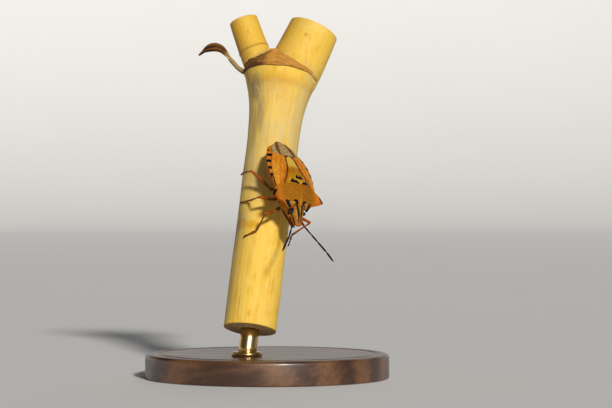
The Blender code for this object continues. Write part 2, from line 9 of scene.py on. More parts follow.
import bpy
import numpy as np
from bpy.props import FloatProperty, FloatVectorProperty, IntProperty, PointerProperty
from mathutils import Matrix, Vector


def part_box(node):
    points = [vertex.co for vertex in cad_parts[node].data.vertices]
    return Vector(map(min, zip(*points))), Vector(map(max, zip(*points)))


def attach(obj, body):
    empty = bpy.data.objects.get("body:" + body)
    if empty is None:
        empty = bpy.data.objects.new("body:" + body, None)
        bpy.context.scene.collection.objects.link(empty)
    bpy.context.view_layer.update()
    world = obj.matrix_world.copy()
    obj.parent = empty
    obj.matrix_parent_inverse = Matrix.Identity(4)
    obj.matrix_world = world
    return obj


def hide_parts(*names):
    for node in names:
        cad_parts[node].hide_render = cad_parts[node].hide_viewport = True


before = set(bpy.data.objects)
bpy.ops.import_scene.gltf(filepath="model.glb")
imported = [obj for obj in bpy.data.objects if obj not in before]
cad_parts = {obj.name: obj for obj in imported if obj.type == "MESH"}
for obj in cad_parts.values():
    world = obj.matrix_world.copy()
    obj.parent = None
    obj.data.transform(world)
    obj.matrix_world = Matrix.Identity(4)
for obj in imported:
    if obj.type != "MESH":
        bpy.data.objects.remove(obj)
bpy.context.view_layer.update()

bl_info = {
    "name": "Shield Bug on a Dry Stem",
    "version": (1, 0, 0),
    "blender": (4, 5, 0),
    "location": "3D View > Sidebar > Shield Bug",
    "description": "Finished surfaces for a shield bug on a stem and its display stand",
    "category": "Add Mesh",
}

MM = 0.001
BODY = "root"
FINISH = "_finish"
HANDS = ((1, "left"), (-1, "right"))

# Starts of the names of the pieces that only add to the solids of others.
EXTRAS = ("ocellus", "antennal", "claws", "perch_branch", "perch_bract_stalk", "stand_collar")

# Sizes in mm. The insect's origin lies this far behind the tip of its head, and this far above
# the level that its heights are measured from.
ORIGIN_BEHIND, ORIGIN_HEIGHT = 6.0, 2.5

# Half-widths of the pronotum at its spines and of the scutellum at its base, the scutellum's
# end, the joints between the segments of the rim, and how far the trunk lies under the plates.
SPINE_REACH = 4.28
SCUTELLUM_BASE, SCUTELLUM_TIP = 2.14, 9.6
RIM_JOINTS = (6.45, 7.52, 8.62, 9.66, 10.66)
UNDER_PLATES = 0.3

# The stem's radii, and the levels of its lower cut, its node and the cut of its branches.
STEM_RADIUS, NODE_RADIUS = 3.49, 4.9
STEM_CUT, NODE, FORK_TOP = 6.9, 41.6, 48.9

# Clearance of the claws' roots over the bark, the lean of the bristles from 0, square to their
# limb, to 1, along it, and the radius of the stand's rod.
CLAW_GAP = 0.16
BRISTLE_LEAN = 0.55
ROD_RADIUS = 1.2

# Place of the camera in metres.
CAMERA = (0.00508, -0.3055, 0.0228)


# ---------------------------------------------------------------- frames


def turned(roll, pitch, heading):
    """Rotation matrix of turns about x, then y, then z, given in degrees."""
    a, b, c = np.radians((roll, pitch, heading))
    about_x = np.array([[1, 0, 0], [0, np.cos(a), -np.sin(a)], [0, np.sin(a), np.cos(a)]])
    about_y = np.array([[np.cos(b), 0, np.sin(b)], [0, 1, 0], [-np.sin(b), 0, np.cos(b)]])
    about_z = np.array([[np.cos(c), -np.sin(c), 0], [np.sin(c), np.cos(c), 0], [0, 0, 1]])
    return about_z @ about_y @ about_x


# Each frame is its turn and its origin in the row's frame.
INSECT = (turned(-16.9, 58.0, -62.0), np.array([3.0, -5.5, 25.3]))
STEM = (turned(-16.3, 6.7, 0.0), np.array([-2.93, -6.15, 0.0]))
STAND = (np.eye(3), np.zeros(3))


def to_row(points, place):
    """Points of a frame, in mm, moved into the row's frame, still in mm."""
    turn, origin = place
    return np.asarray(points, float) @ turn.T + origin


def from_row(points, place):
    """Points of the row's frame, in mm, moved into another frame."""
    turn, origin = place
    return (np.asarray(points, float) - origin) @ turn


def xyz(x, y, z):
    """Points from their three measures, spread over one another."""
    return np.stack(np.broadcast_arrays(x, y, z), axis=-1)


def insect_point(behind, side, height):
    """Point of the insect's frame from its distance behind the tip of the head."""
    return xyz(ORIGIN_BEHIND - behind, side, height - ORIGIN_HEIGHT)


def on_stem(degrees, height, clearance):
    """Point of the insect's frame that stands over the stem's bark."""
    radius, turn = STEM_RADIUS + clearance, np.radians(degrees)
    spot = np.array([radius * np.sin(turn), -radius * np.cos(turn), height])
    return from_row(to_row(spot, STEM), INSECT)


# ---------------------------------------------------------------- curves and fields


def grid(rows, columns):
    """Even shares from 0 to 1: one down the rows of a grid and one across its columns."""
    return np.linspace(0, 1, rows)[:, None], np.linspace(0, 1, columns)[None]


def circle(count):
    """Even turns round a circle from 0, in radians."""
    return 2 * np.pi * np.arange(count) / count


def unit(vectors):
    """Vectors divided by their lengths."""
    return vectors / np.maximum(np.linalg.norm(vectors, axis=-1, keepdims=True), 1e-12)


def smooth(x, stations, values):
    """Cubic curve through the given values, with slopes taken from the neighbouring points."""
    stations, values = np.asarray(stations, float), np.asarray(values, float)
    slopes = np.gradient(values, stations)
    x = np.clip(x, stations[0], stations[-1])
    k = np.clip(np.searchsorted(stations, x, side="right") - 1, 0, len(stations) - 2)
    width = stations[k + 1] - stations[k]
    t = (x - stations[k]) / width
    return (
        values[k] * (1 + 2 * t) * (1 - t) ** 2
        + slopes[k] * width * t * (1 - t) ** 2
        + values[k + 1] * t**2 * (3 - 2 * t)
        + slopes[k + 1] * width * t**2 * (t - 1)
    )


def curve(stations, values):
    """Function that reads the smooth curve through the given values."""
    return lambda x: smooth(x, stations, values)


def ease(t):
    """Smooth step from 0 to 1."""
    t = np.clip(t, 0.0, 1.0)
    return t * t * (3.0 - 2.0 * t)


def bell(x, width):
    """Bell curve of height 1 whose half-width is the given one."""
    return np.exp(-((x / width) ** 2))


def nearest(x, stations):
    """Distance to the nearest of the stations."""
    return np.min([np.abs(x - station) for station in stations], axis=0)


LATTICE = 64


def lattice(x, y, size):
    """Measures in units of a square lattice, and the lattice point below them."""
    x, y = np.broadcast_arrays(x / size, y / size)
    return x, y, np.floor(x).astype(int), np.floor(y).astype(int)


def drift(x, y, size, seed):
    """Smooth random field from -1 to 1: values on a square lattice, eased between its points."""
    table = np.random.default_rng(seed).random((LATTICE, LATTICE)) * 2 - 1
    x, y, i, j = lattice(x, y, size)
    u, v = ease(x - i), ease(y - j)
    a, b, c, d = i % LATTICE, (i + 1) % LATTICE, j % LATTICE, (j + 1) % LATTICE
    low = table[a, c] * (1 - u) + table[b, c] * u
    high = table[a, d] * (1 - u) + table[b, d] * u
    return low * (1 - v) + high * v


def dots(x, y, spacing, seed):
    """Distance to the nearest dot of a shaken lattice, and that dot's own number from 0 to 1."""
    table = np.random.default_rng(seed).random((LATTICE, LATTICE, 3))
    x, y, i, j = lattice(x, y, spacing)
    least, number = np.full(x.shape, 9.0), np.zeros(x.shape)
    for step_i in (-1, 0, 1):
        for step_j in (-1, 0, 1):
            cell = table[(i + step_i) % LATTICE, (j + step_j) % LATTICE]
            across = i + step_i + 0.18 + 0.64 * cell[..., 0] - x
            along = j + step_j + 0.18 + 0.64 * cell[..., 1] - y
            distance = np.hypot(across, along)
            closer = distance < least
            least = np.where(closer, distance, least)
            number = np.where(closer, cell[..., 2], number)
    return least * spacing, number


def punctures(side, behind, spacing, seed, keep=1.0):
    """Punctures on a plate: 1 at a dot of a shaken lattice, falling to 0 at its rim."""
    across, along = side * 0.8 + behind * 0.6, behind * 0.8 - side * 0.6
    distance, number = dots(across, along, spacing, seed)
    return ease(1 - distance / (spacing * 0.42)) * (number < keep)


def strokes(side, behind, *paths):
    """Depth inside the nearest of some brush strokes: a stroke's half-width, blended along each
    straight run of (side, behind, half-width), less the distance to it. It is negative outside."""
    depth = np.full(np.broadcast(side, behind).shape, -9.0)
    for (s0, b0, r0), (s1, b1, r1) in (run for path in paths for run in zip(path, path[1:])):
        run_s, run_b = s1 - s0, b1 - b0
        length = max(run_s**2 + run_b**2, 1e-9)
        t = np.clip(((side - s0) * run_s + (behind - b0) * run_b) / length, 0, 1)
        away = np.hypot(side - s0 - t * run_s, behind - b0 - t * run_b)
        depth = np.maximum(depth, r0 + (r1 - r0) * t - away)
    return depth


# ---------------------------------------------------------------- heights and outlines of the back

# Half-widths at each distance behind the tip of the head. The overlap is the edge of the right
# membrane, which lies over the left one.
scutellum_side = curve(
    [5.0, 5.25, 6.2, 7.2, 8.2, 9.0, 9.4, 9.6], [2.16, 2.14, 1.66, 1.16, 0.82, 0.66, 0.46, 0.14]
)
corium_side = curve([4.6, 5.2, 6.0, 7.0, 8.0, 9.0, 9.95], [3.24, 3.36, 3.4, 3.36, 3.2, 2.88, 2.42])
membrane_side = curve(
    [9.6, 10.2, 10.8, 11.4, 11.9, 12.25, 12.5], [2.36, 2.26, 2.04, 1.66, 1.18, 0.72, 0.16]
)
membrane_overlap = curve([9.7, 10.2, 10.8, 11.4, 11.9, 12.3], [0.2, 0.6, 0.86, 0.86, 0.66, 0.42])
abdomen_side = curve(
    [5.6, 6.4, 7.2, 8.2, 9.2, 10.2, 11.0, 11.5, 11.85, 12.0],
    [3.36, 3.52, 3.6, 3.58, 3.36, 2.9, 2.32, 1.8, 1.22, 0.8],
)
head_half = curve([0.0, 0.15, 0.45, 0.9, 1.4, 1.8, 2.2], [0.22, 0.45, 0.57, 0.68, 0.86, 1.0, 1.1])

# Heights of the head's edge and of its crown, and the distance from the midline to the groove
# beside its central lobe.
head_edge = curve([0.0, 1.0, 2.2], [1.95, 2.12, 2.3])
head_crown = curve([0.0, 0.3, 1.0, 1.7, 2.2], [2.06, 2.26, 2.62, 2.92, 3.08])
lobe_side = curve([0.0, 0.35, 0.8, 1.3, 1.7, 2.3], [0.15, 0.17, 0.15, 0.2, 0.27, 0.4])


def pronotum_front(side):
    """Front margin of the pronotum: its distance behind the tip of the head."""
    stations = [0.0, 0.8, 1.3, 1.58, 1.8, 2.1, 2.6, 3.2, 3.8, SPINE_REACH]
    margin = [2.28, 2.26, 2.18, 1.97, 2.2, 2.48, 2.82, 3.03, 3.16, 3.28]
    return smooth(np.abs(side), stations, margin)


def pronotum_rear(side):
    """Rear margin of the pronotum."""
    stations = [0.0, 1.2, 2.2, 2.75, 3.2, 3.7, 4.1, SPINE_REACH]
    return smooth(np.abs(side), stations, [4.99, 5.04, 5.18, 5.14, 4.82, 4.22, 3.66, 3.43])


def suture(side):
    """Line behind which the wing is membrane: it bends back by a smooth step aside."""
    return 9.68 + 0.28 * ease((np.abs(side) - 0.5) / 1.9)


def wing_height(behind, side):
    """Folded wings: a ridge line that falls away as the cube of the distance aside, and levels
    out again towards the rim of the abdomen as the square of the distance beyond 2.8 mm."""
    ridge = smooth(behind, [4.6, 5.6, 7.0, 9.6, 11.0, 12.5], [3.95, 4.0, 3.97, 3.66, 3.27, 2.78])
    flare = 0.42 * np.maximum(np.abs(side) - 2.8, 0.0) ** 2
    return ridge - 1.0 * (np.abs(side) / 3.7) ** 3 + flare


def pronotum_height(behind, side):
    """Pronotum: it rises to the rear, drops to the sides and lifts again at the spines."""
    ridge = smooth(behind, [1.8, 2.28, 3.3, 4.2, 5.3], [2.95, 3.17, 3.75, 4.12, 4.32])
    drop = 0.95 * (1.0 - bell(side, 2.4))
    spine = 0.45 * ease((np.abs(side) - 3.0) / 1.28)
    return ridge - drop + spine


def scutellum_height(behind, side):
    """Scutellum: a low swelling over the wings, highest near its base."""
    swelling = smooth(behind, [5.0, 6.5, 8.5, 9.6], [0.3, 0.26, 0.1, 0.04])
    across = side / np.maximum(scutellum_side(behind), 0.1)
    return wing_height(behind, side) + swelling * (1 - across**2)


def head_top(behind, aside):
    """Height of the top of the head: from its edge to its crown by (1 - share^2)^0.425."""
    share = np.clip(aside / head_half(behind), -1, 1)
    return head_edge(behind) + (head_crown(behind) - head_edge(behind)) * (1 - share**2) ** 0.425


# ---------------------------------------------------------------- meshes


def cross_quads(index):
    """Quads between the neighbouring rows and columns of a table of vertex numbers."""
    corners = (index[:-1, :-1], index[1:, :-1], index[1:, 1:], index[:-1, 1:])
    return np.stack(corners, axis=-1).reshape(-1, 4)


def numbered(rows, columns):
    """Table of vertex numbers whose last column is its first again, for rings."""
    index = np.arange(rows * columns).reshape(rows, columns)
    return np.concatenate([index, index[:, :1]], axis=1)


def normals(points):
    """Unit normals of a grid of points: the cross product of its two directions."""
    return unit(np.cross(np.gradient(points, axis=0), np.gradient(points, axis=1)))


def edge_distance(points):
    """Distance from each point of a grid to the nearest border, along the grid's lines."""
    reach = []
    for axis in (0, 1):
        run = np.cumsum(np.linalg.norm(np.diff(points, axis=axis), axis=-1), axis=axis)
        run = np.insert(run, 0, 0.0, axis=axis)
        reach += [run, np.take(run, [-1], axis=axis) - run]
    return np.minimum.reduce(reach)


def swollen(rings, relief):
    """Rings pushed out along their normals by a relief in mm."""
    looped = np.concatenate([rings[:, -1:], rings, rings[:, :1]], axis=1)
    normal = normals(looped)[:, 1:-1]
    out = rings - rings.mean(axis=1, keepdims=True)
    normal *= np.sign(np.einsum("ijk,ijk->", normal, out))
    return rings + normal * np.asarray(relief)[..., None]


def shell(points, thickness, round_edge, relief):
    """Closed shell under an open grid, as (vertices, faces).

    It is a middle surface half a thickness down. Both of its sheets stand off it by half the
    thickness times a quarter circle of the distance to the border, so the rim is round, and the
    upper sheet also carries the relief. The sheets share their border.
    """
    rows, columns = points.shape[:2]
    normal = normals(points)
    normal *= np.sign(normal[..., 2].mean())
    inset = np.clip(edge_distance(points) / round_edge, 0, 1)
    swell = np.sqrt(np.maximum(1 - (1 - inset) ** 2, 0))[..., None]
    middle = points - normal * thickness / 2
    upper = middle + normal * swell * (thickness / 2 + np.asarray(relief)[..., None])
    lower = middle - normal * swell * thickness / 2
    index = np.arange(rows * columns).reshape(rows, columns)
    under = index.copy()
    under[1:-1, 1:-1] = rows * columns + np.arange((rows - 2) * (columns - 2)).reshape(rows - 2, -1)
    vertices = np.concatenate([upper.reshape(-1, 3), lower[1:-1, 1:-1].reshape(-1, 3)])
    return vertices, [cross_quads(index), cross_quads(under)[:, ::-1]]


def both_sheets(values, shape):
    """Values of a grid, repeated for the points that only the lower sheet has."""
    tail = np.shape(values)[2:]
    values = np.broadcast_to(values, shape + tail)
    return np.concatenate([part.reshape((-1,) + tail) for part in (values, values[1:-1, 1:-1])])


def poles(values):
    """Values on rings, followed by the means of the first and of the last ring."""
    values = np.asarray(values, float)
    flat = values.reshape((-1,) + values.shape[2:])
    return np.concatenate([flat, [values[0].mean(0), values[-1].mean(0)]])


def skin(rings, floats):
    """Closed skin over rings of points, as (vertices, faces, floats), with a pole at the middle of
    each end."""
    count, around = rings.shape[:2]
    looped = numbered(count, around)
    faces = [cross_quads(looped)[:, ::-1]]
    ends = ((looped[0, 1:], looped[0, :-1]), (looped[-1, :-1], looped[-1, 1:]))
    for pole, (a, b) in enumerate(ends):
        faces.append(np.stack([a, b, np.full(around, count * around + pole)], axis=-1))
    values = {title: poles(np.broadcast_to(v, (count, around))) for title, v in floats.items()}
    return poles(rings), faces, values


def join(parts):
    """Several (vertices, faces, floats) made one, their vertex numbers shifted in turn."""
    vertices, faces, floats, offset = [], [], {}, 0
    for points, shapes, values in parts:
        vertices.append(points)
        faces += [shape + offset for shape in shapes]
        for title, numbers in values.items():
            floats.setdefault(title, []).append(np.broadcast_to(numbers, len(points)))
        offset += len(points)
    return np.concatenate(vertices), faces, {k: np.concatenate(v) for k, v in floats.items()}


def facing_out(vertices, faces):
    """True if the closed surface has a positive volume: the sum of a . (b x c) over its triangles,
    measured from its middle."""
    fans = [part[:, [0, k, k + 1]] for part in faces for k in range(1, part.shape[1] - 1)]
    a, b, c = (vertices - vertices.mean(0))[np.concatenate(fans).T]
    return np.einsum("ij,ij->i", a, np.cross(b, c)).sum() >= 0


def piece(name, shape, material, slot, place=INSECT, own=None):
    """New piece riding on the body: (vertices in mm of a frame, faces, floats). It stands for the
    solid of the same name, unless it is one of the extras.

    Each entry of floats becomes a vertex attribute, and "own" holds the vertex's place in its
    own frame in mm, which the finishes read.
    """
    vertices, faces, floats = shape
    if not facing_out(vertices, faces):
        faces = [part[:, ::-1] for part in faces]
    mesh = bpy.data.meshes.new(f"fine_{name}")
    listed = [face for part in faces for face in part.tolist()]
    mesh.from_pydata((to_row(vertices, place) * MM).tolist(), [], listed)
    mesh.shade_smooth()
    for title, values in floats.items():
        layer = mesh.attributes.new(title, "FLOAT", "POINT")
        values = np.broadcast_to(values, len(vertices))
        layer.data.foreach_set("value", np.ascontiguousarray(values, np.float32))
    layer = mesh.attributes.new("own", "FLOAT_VECTOR", "POINT")
    own = vertices if own is None else own
    layer.data.foreach_set("vector", np.ascontiguousarray(own, np.float32).ravel())
    mesh.materials.append(bpy.data.materials[material + FINISH])
    item = bpy.data.objects.new(mesh.name, mesh)
    bpy.context.scene.collection.objects.link(item)
    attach(item, BODY)
    if not name.startswith(EXTRAS):
        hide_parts(name)


def plate(name, points, thickness, round_edge, relief, floats, *finish, own=None):
    """Shell as a piece of a material and place, its values repeated on the lower sheet. The slot
    that it passes on is not used.
    """
    shape = points.shape[:2]
    vertices, faces = shell(points, thickness, round_edge, relief)
    floats = {title: both_sheets(values, shape) for title, values in floats.items()}
    own = both_sheets(points if own is None else own, shape)
    piece(name, (vertices, faces, floats), *finish, own=own)


def round_path(path, radii, around=20, flatten=1.0, upright=(0.0, 0.0, 1.0)):
    """Rings square to a path: its points plus radius times the cosine and sine of the turn, on two
    directions square to the path's own. The second, nearest to upright, may be flattened."""
    path = np.asarray(path, float)
    axis = unit(np.gradient(path, axis=0))
    up = unit(upright - axis * (axis @ np.asarray(upright, float))[:, None])
    turn = circle(around)[:, None]
    spread = np.cross(axis, up)[:, None] * np.cos(turn) + up[:, None] * np.sin(turn) * flatten
    return path[:, None] + spread * np.broadcast_to(radii, len(path))[:, None, None]


def limb(start, end, profile, count, around=24, bow=0.0):
    """Limb segment from start to end, bowed up by a half sine, its radius read from a profile of
    (share of the length, radius) and both of its ends rounded off in quarter circles. It gives
    the rings and each point's share of the length."""
    length = np.linalg.norm(end - start)
    t = (1 - np.cos(np.pi * np.linspace(0, 1, count))) / 2
    stations, values = zip(*profile)
    radii = smooth(t, stations, values)
    for edge, size in ((t, values[0]), (1 - t, values[-1])):
        inset = np.clip(edge * length / size, 0.02, 1)
        radii = radii * np.sqrt(np.clip(1 - (1 - inset) ** 2, 0, 1))
    lift = np.array([0.0, 0.0, bow]) * np.sin(np.pi * t)[:, None]
    rings = round_path(start + (end - start) * t[:, None] + lift, radii, around)
    return rings, np.broadcast_to(t[:, None], rings.shape[:2])


def ball(centre, radii, around, rings):
    """Ellipsoid as rings from pole to pole along its own z."""
    rise = (np.pi * (np.arange(rings) + 0.5) / rings)[:, None]
    turn = circle(around)
    spot = xyz(np.sin(rise) * np.cos(turn), np.sin(rise) * np.sin(turn), np.cos(rise))
    return centre + spot * np.asarray(radii)


def spikes(roots, tips, radius):
    """Slim three-sided spikes, each closed by its base, as (vertices, faces)."""
    axis = unit(tips - roots)
    helper = np.where(np.abs(axis[:, 2:]) < 0.8, [0.0, 0.0, 1.0], [1.0, 0.0, 0.0])
    across = unit(np.cross(axis, helper))
    turn = circle(3)[:, None]
    spread = across[:, None] * np.cos(turn) + np.cross(axis, across)[:, None] * np.sin(turn)
    vertices = np.concatenate([roots[:, None] + radius * spread, tips[:, None]], axis=1)
    base = 4 * np.arange(len(roots))[:, None]
    corners = ((0, 1, 3), (1, 2, 3), (2, 0, 3), (0, 2, 1))
    return vertices.reshape(-1, 3), [np.concatenate([base + np.array(face) for face in corners])]


def bristled(rings, floats, count, length, seed, radius=0.009):
    """Closed limb with bristles set on its skin, leaning towards its far end.

    Each bristle grows from a random ring and corner, by its length, along the outward direction
    blended with the limb's own direction."""
    shape = skin(rings, floats)
    if not count:
        return shape
    rng = np.random.default_rng(seed)
    row = rng.integers(3, len(rings) - 3, count)
    column = rng.integers(0, rings.shape[1], count)
    middle = rings.mean(axis=1)
    axis = unit(middle[row + 1] - middle[row - 1])
    root = rings[row, column]
    out = unit(root - middle[row])
    direction = unit(out * (1 - BRISTLE_LEAN) + axis * BRISTLE_LEAN)
    tips = root + direction * (length * rng.uniform(0.7, 1.2, count))[:, None]
    hair = {**dict.fromkeys(floats, 0.0), "ink": 0.02, "red": 0.6}
    return join([shape, (*spikes(root - out * 0.01, tips, radius), hair)])


def lathe(profile, around=160):
    """Rings from a profile of (radius, height) turned round the z axis."""
    turn = circle(around)
    radius, height = np.asarray(profile, float).T[..., None]
    return xyz(radius * np.cos(turn), radius * np.sin(turn), height)


def quarter(centre, radius, start, end, steps=7):
    """Points of a circular arc in (radius, height), from one angle to another in degrees."""
    angle = np.radians(np.linspace(start, end, steps))
    return [(centre[0] + radius * np.cos(a), centre[1] + radius * np.sin(a)) for a in angle]


# ---------------------------------------------------------------- finishes


class Nodes:
    """Node tree with short ways to add the nodes that the finishes use."""

    def __init__(self, tree):
        self.tree = tree

    def feed(self, socket, source):
        """Sets a socket, or links it if the source is another node's socket."""
        if isinstance(source, bpy.types.NodeSocket):
            self.tree.links.new(source, socket)
        elif socket.type == "RGBA":
            socket.default_value = (*source[:3], 1.0)
        else:
            socket.default_value = source

    def node(self, kind, inputs, **settings):
        """New shader node's outputs, its inputs fed by name or number."""
        item = self.tree.nodes.new("ShaderNode" + kind)
        for key, setting in settings.items():
            setattr(item, key, setting)
        for key, source in inputs.items():
            self.feed(item.inputs[key], source)
        return item.outputs

    def maths(self, operation, first, second, clamp=False):
        return self.node("Math", {0: first, 1: second}, operation=operation, use_clamp=clamp)[0]

    def times(self, first, second, clamp=False):
        return self.maths("MULTIPLY", first, second, clamp)

    def plus(self, first, second, clamp=False):
        return self.maths("ADD", first, second, clamp)

    def less(self, first, second):
        return self.maths("SUBTRACT", first, second)

    def most(self, first, second):
        return self.maths("MAXIMUM", first, second)

    def mix(self, share, first, second, blend_type="MIX"):
        inputs = {0: share, 6: first, 7: second}
        return self.node("Mix", inputs, data_type="RGBA", blend_type=blend_type)[2]

    def ramp(self, source, low, high, out_low=0.0, out_high=1.0):
        """Smooth change from one value to another as the source goes from low to high."""
        inputs = {0: source, 1: low, 2: high, 3: out_low, 4: out_high}
        return self.node("MapRange", inputs, interpolation_type="SMOOTHSTEP")[0]

    def noise(self, place, scale, detail=3.0, roughness=0.55):
        inputs = {"Vector": place, "Scale": scale, "Detail": detail, "Roughness": roughness}
        return self.node("TexNoise", inputs)[0]

    def cells(self, place, scale, **inputs):
        """Distance to the nearest point of a scattered lattice."""
        return self.node("TexVoronoi", {"Vector": place, "Scale": scale, **inputs})["Distance"]

    def stretched(self, place, scale):
        return self.node("VectorMath", {0: place, 1: scale}, operation="MULTIPLY")[0]

    def read(self, name, output="Fac"):
        """Value that the vertices carry under a name."""
        return self.node("Attribute", {}, attribute_name=name)[output]

    def own(self):
        """Place of the vertex in its own frame, in mm."""
        return self.read("own", "Vector")

    def group(self, name, **inputs):
        return self.node("Group", inputs, node_tree=bpy.data.node_groups[name])


class Effect(Nodes):
    """New node group that reads a place and the named numbers, and puts out the named values."""

    def __init__(self, name, outputs, **numbers):
        super().__init__(bpy.data.node_groups.new(name, "ShaderNodeTree"))
        interface = self.tree.interface
        interface.new_socket("Place", in_out="INPUT", socket_type="NodeSocketVector")
        for title, default in numbers.items():
            socket = interface.new_socket(title, in_out="INPUT", socket_type="NodeSocketFloat")
            socket.default_value = default
        for title in outputs:
            interface.new_socket(title, in_out="OUTPUT", socket_type="NodeSocketFloat")
        self.given = self.tree.nodes.new("NodeGroupInput").outputs
        self.result = self.tree.nodes.new("NodeGroupOutput").inputs


class Finish(Nodes):
    """New material with a Principled shader, and the constants of its sockets."""

    def __init__(self, name, colour, **constants):
        self.material = bpy.data.materials.new(name + FINISH)
        self.material.use_nodes = True
        self.material.diffuse_color = (*colour[:3], 1.0)
        super().__init__(self.material.node_tree)
        self.shader = self.tree.nodes["Principled BSDF"].inputs
        self.put(**constants)

    def put(self, **sources):
        """Feeds the shader's sockets, named with _ for a space."""
        for title, source in sources.items():
            self.feed(self.shader[title.replace("_", " ")], source)

    def bump(self, height, distance, strength=1.0):
        """Relief from a height of 0 to 1 over a distance in mm."""
        inputs = {"Height": height, "Distance": distance * MM, "Strength": strength}
        self.put(Normal=self.node("Bump", inputs)[0])


def marking_effect():
    """Mask of a painted mark: its depth in mm plus a wobble of noise, cut over a soft edge."""
    e = Effect("Marking", ["Mask"], Depth=0.0, Wobble=0.05, Softness=0.02)
    shake = e.less(e.noise(e.given["Place"], 9.0, 2.0), 0.5)
    depth = e.plus(e.given["Depth"], e.times(shake, e.given["Wobble"]))
    soft = e.given["Softness"]
    e.feed(e.result["Mask"], e.ramp(depth, e.times(soft, -1.0), soft))


def grain_effect():
    """Fine skin grain: two sizes of noise and small cells, as a tint and a height from 0 to 1."""
    e = Effect("Skin Grain", ["Tint", "Height"], Scale=8.0)
    place, scale = e.given["Place"], e.given["Scale"]
    fine = e.noise(place, e.times(scale, 5.0))
    cells = e.cells(place, e.times(scale, 3.5))
    e.feed(e.result["Tint"], e.noise(place, scale, 4.0))
    e.feed(e.result["Height"], e.plus(e.times(fine, 0.6), e.times(cells, 0.5)))


def fibre_effect():
    """Long fibres: noise drawn out along z, in broad and fine bands."""
    e = Effect("Long Fibres", ["Broad", "Fine"], Fineness=2.0)
    drawn, scale = e.stretched(e.given["Place"], (1.0, 1.0, 0.035)), e.given["Fineness"]
    e.feed(e.result["Broad"], e.noise(drawn, scale, 4.0, 0.6))
    e.feed(e.result["Fine"], e.noise(drawn, e.times(scale, 4.5), 3.0, 0.65))


def cuticle(name, ground, warm, looks, roughness=0.5, grain=7.0):
    """Hard skin of the insect, painted by its vertex values.

    tone goes from the ground colour to the warm one, red and pale lay those colours over it, pit
    darkens a puncture's floor, and lays painted shade on the coxae and in the pronotum's wrinkles,
    and ink is the depth inside a black mark in mm.
    """
    f = Finish(name, ground, Specular_IOR_Level=0.11)
    own = f.own()
    grain_of = f.group("Skin Grain", Place=own, Scale=grain)
    tint = f.ramp(grain_of["Tint"], 0.3, 0.7)
    patch = f.ramp(f.noise(own, 1.6), 0.35, 0.65)
    tone = f.plus(f.read("tone"), f.times(patch, 0.25), clamp=True)
    colour = f.mix(tone, ground, warm)
    reds = f.times(f.read("red"), f.plus(tint, 0.35), clamp=True)
    colour = f.mix(reds, colour, looks.red)
    colour = f.mix(f.read("pale"), colour, looks.pale)
    colour = f.mix(1.0, colour, f.less(1.0, f.times(tint, 0.35)), "MULTIPLY")
    colour = f.mix(f.times(f.read("pit"), 0.75), colour, looks.pit)
    mark = f.group("Marking", Place=own, Depth=f.read("ink"), Wobble=0.1, Softness=0.02)["Mask"]
    colour = f.mix(mark, colour, looks.ink)
    f.put(Base_Color=colour, Roughness=f.plus(roughness - 0.06, f.times(tint, 0.12)))
    f.bump(grain_of["Height"], 0.008, 0.6)


def eye_finish(looks):
    """Compound eye: dark glossy skin with small round facets that catch the light."""
    constants = {"Roughness": 0.3, "Specular_IOR_Level": 0.3, "Coat_Weight": 0.12}
    f = Finish("compound_eye", looks.eye, **constants)
    own = f.own()
    facet = f.cells(own, 26.0, Randomness=0.25)
    colour = f.mix(f.ramp(facet, 0.2, 0.6), looks.eye, (0.012, 0.006, 0.01))
    f.put(Base_Color=f.mix(f.ramp(f.noise(own, 3.0), 0.4, 0.7, 0.0, 0.5), colour, looks.eye_glow))
    f.bump(f.less(1.0, facet), 0.012)


def membrane_finish(looks):
    """Clear hind part of the wing: smoky skin, darker along its veins and its brown streak."""
    f = Finish("wing_membrane", looks.membrane, Roughness=0.46, Specular_IOR_Level=0.15)
    own = f.own()
    cloud = f.ramp(f.noise(own, 2.2, 4.0), 0.35, 0.7)
    colour = f.mix(cloud, looks.membrane, looks.membrane_light)
    colour = f.mix(f.times(f.read("vein"), 0.35), colour, looks.membrane_dark)
    mark = f.group("Marking", Place=own, Depth=f.read("ink"), Wobble=0.3, Softness=0.09)["Mask"]
    f.put(Base_Color=f.mix(mark, colour, looks.membrane_dark))
    f.bump(f.noise(own, 30.0), 0.004, 0.6)


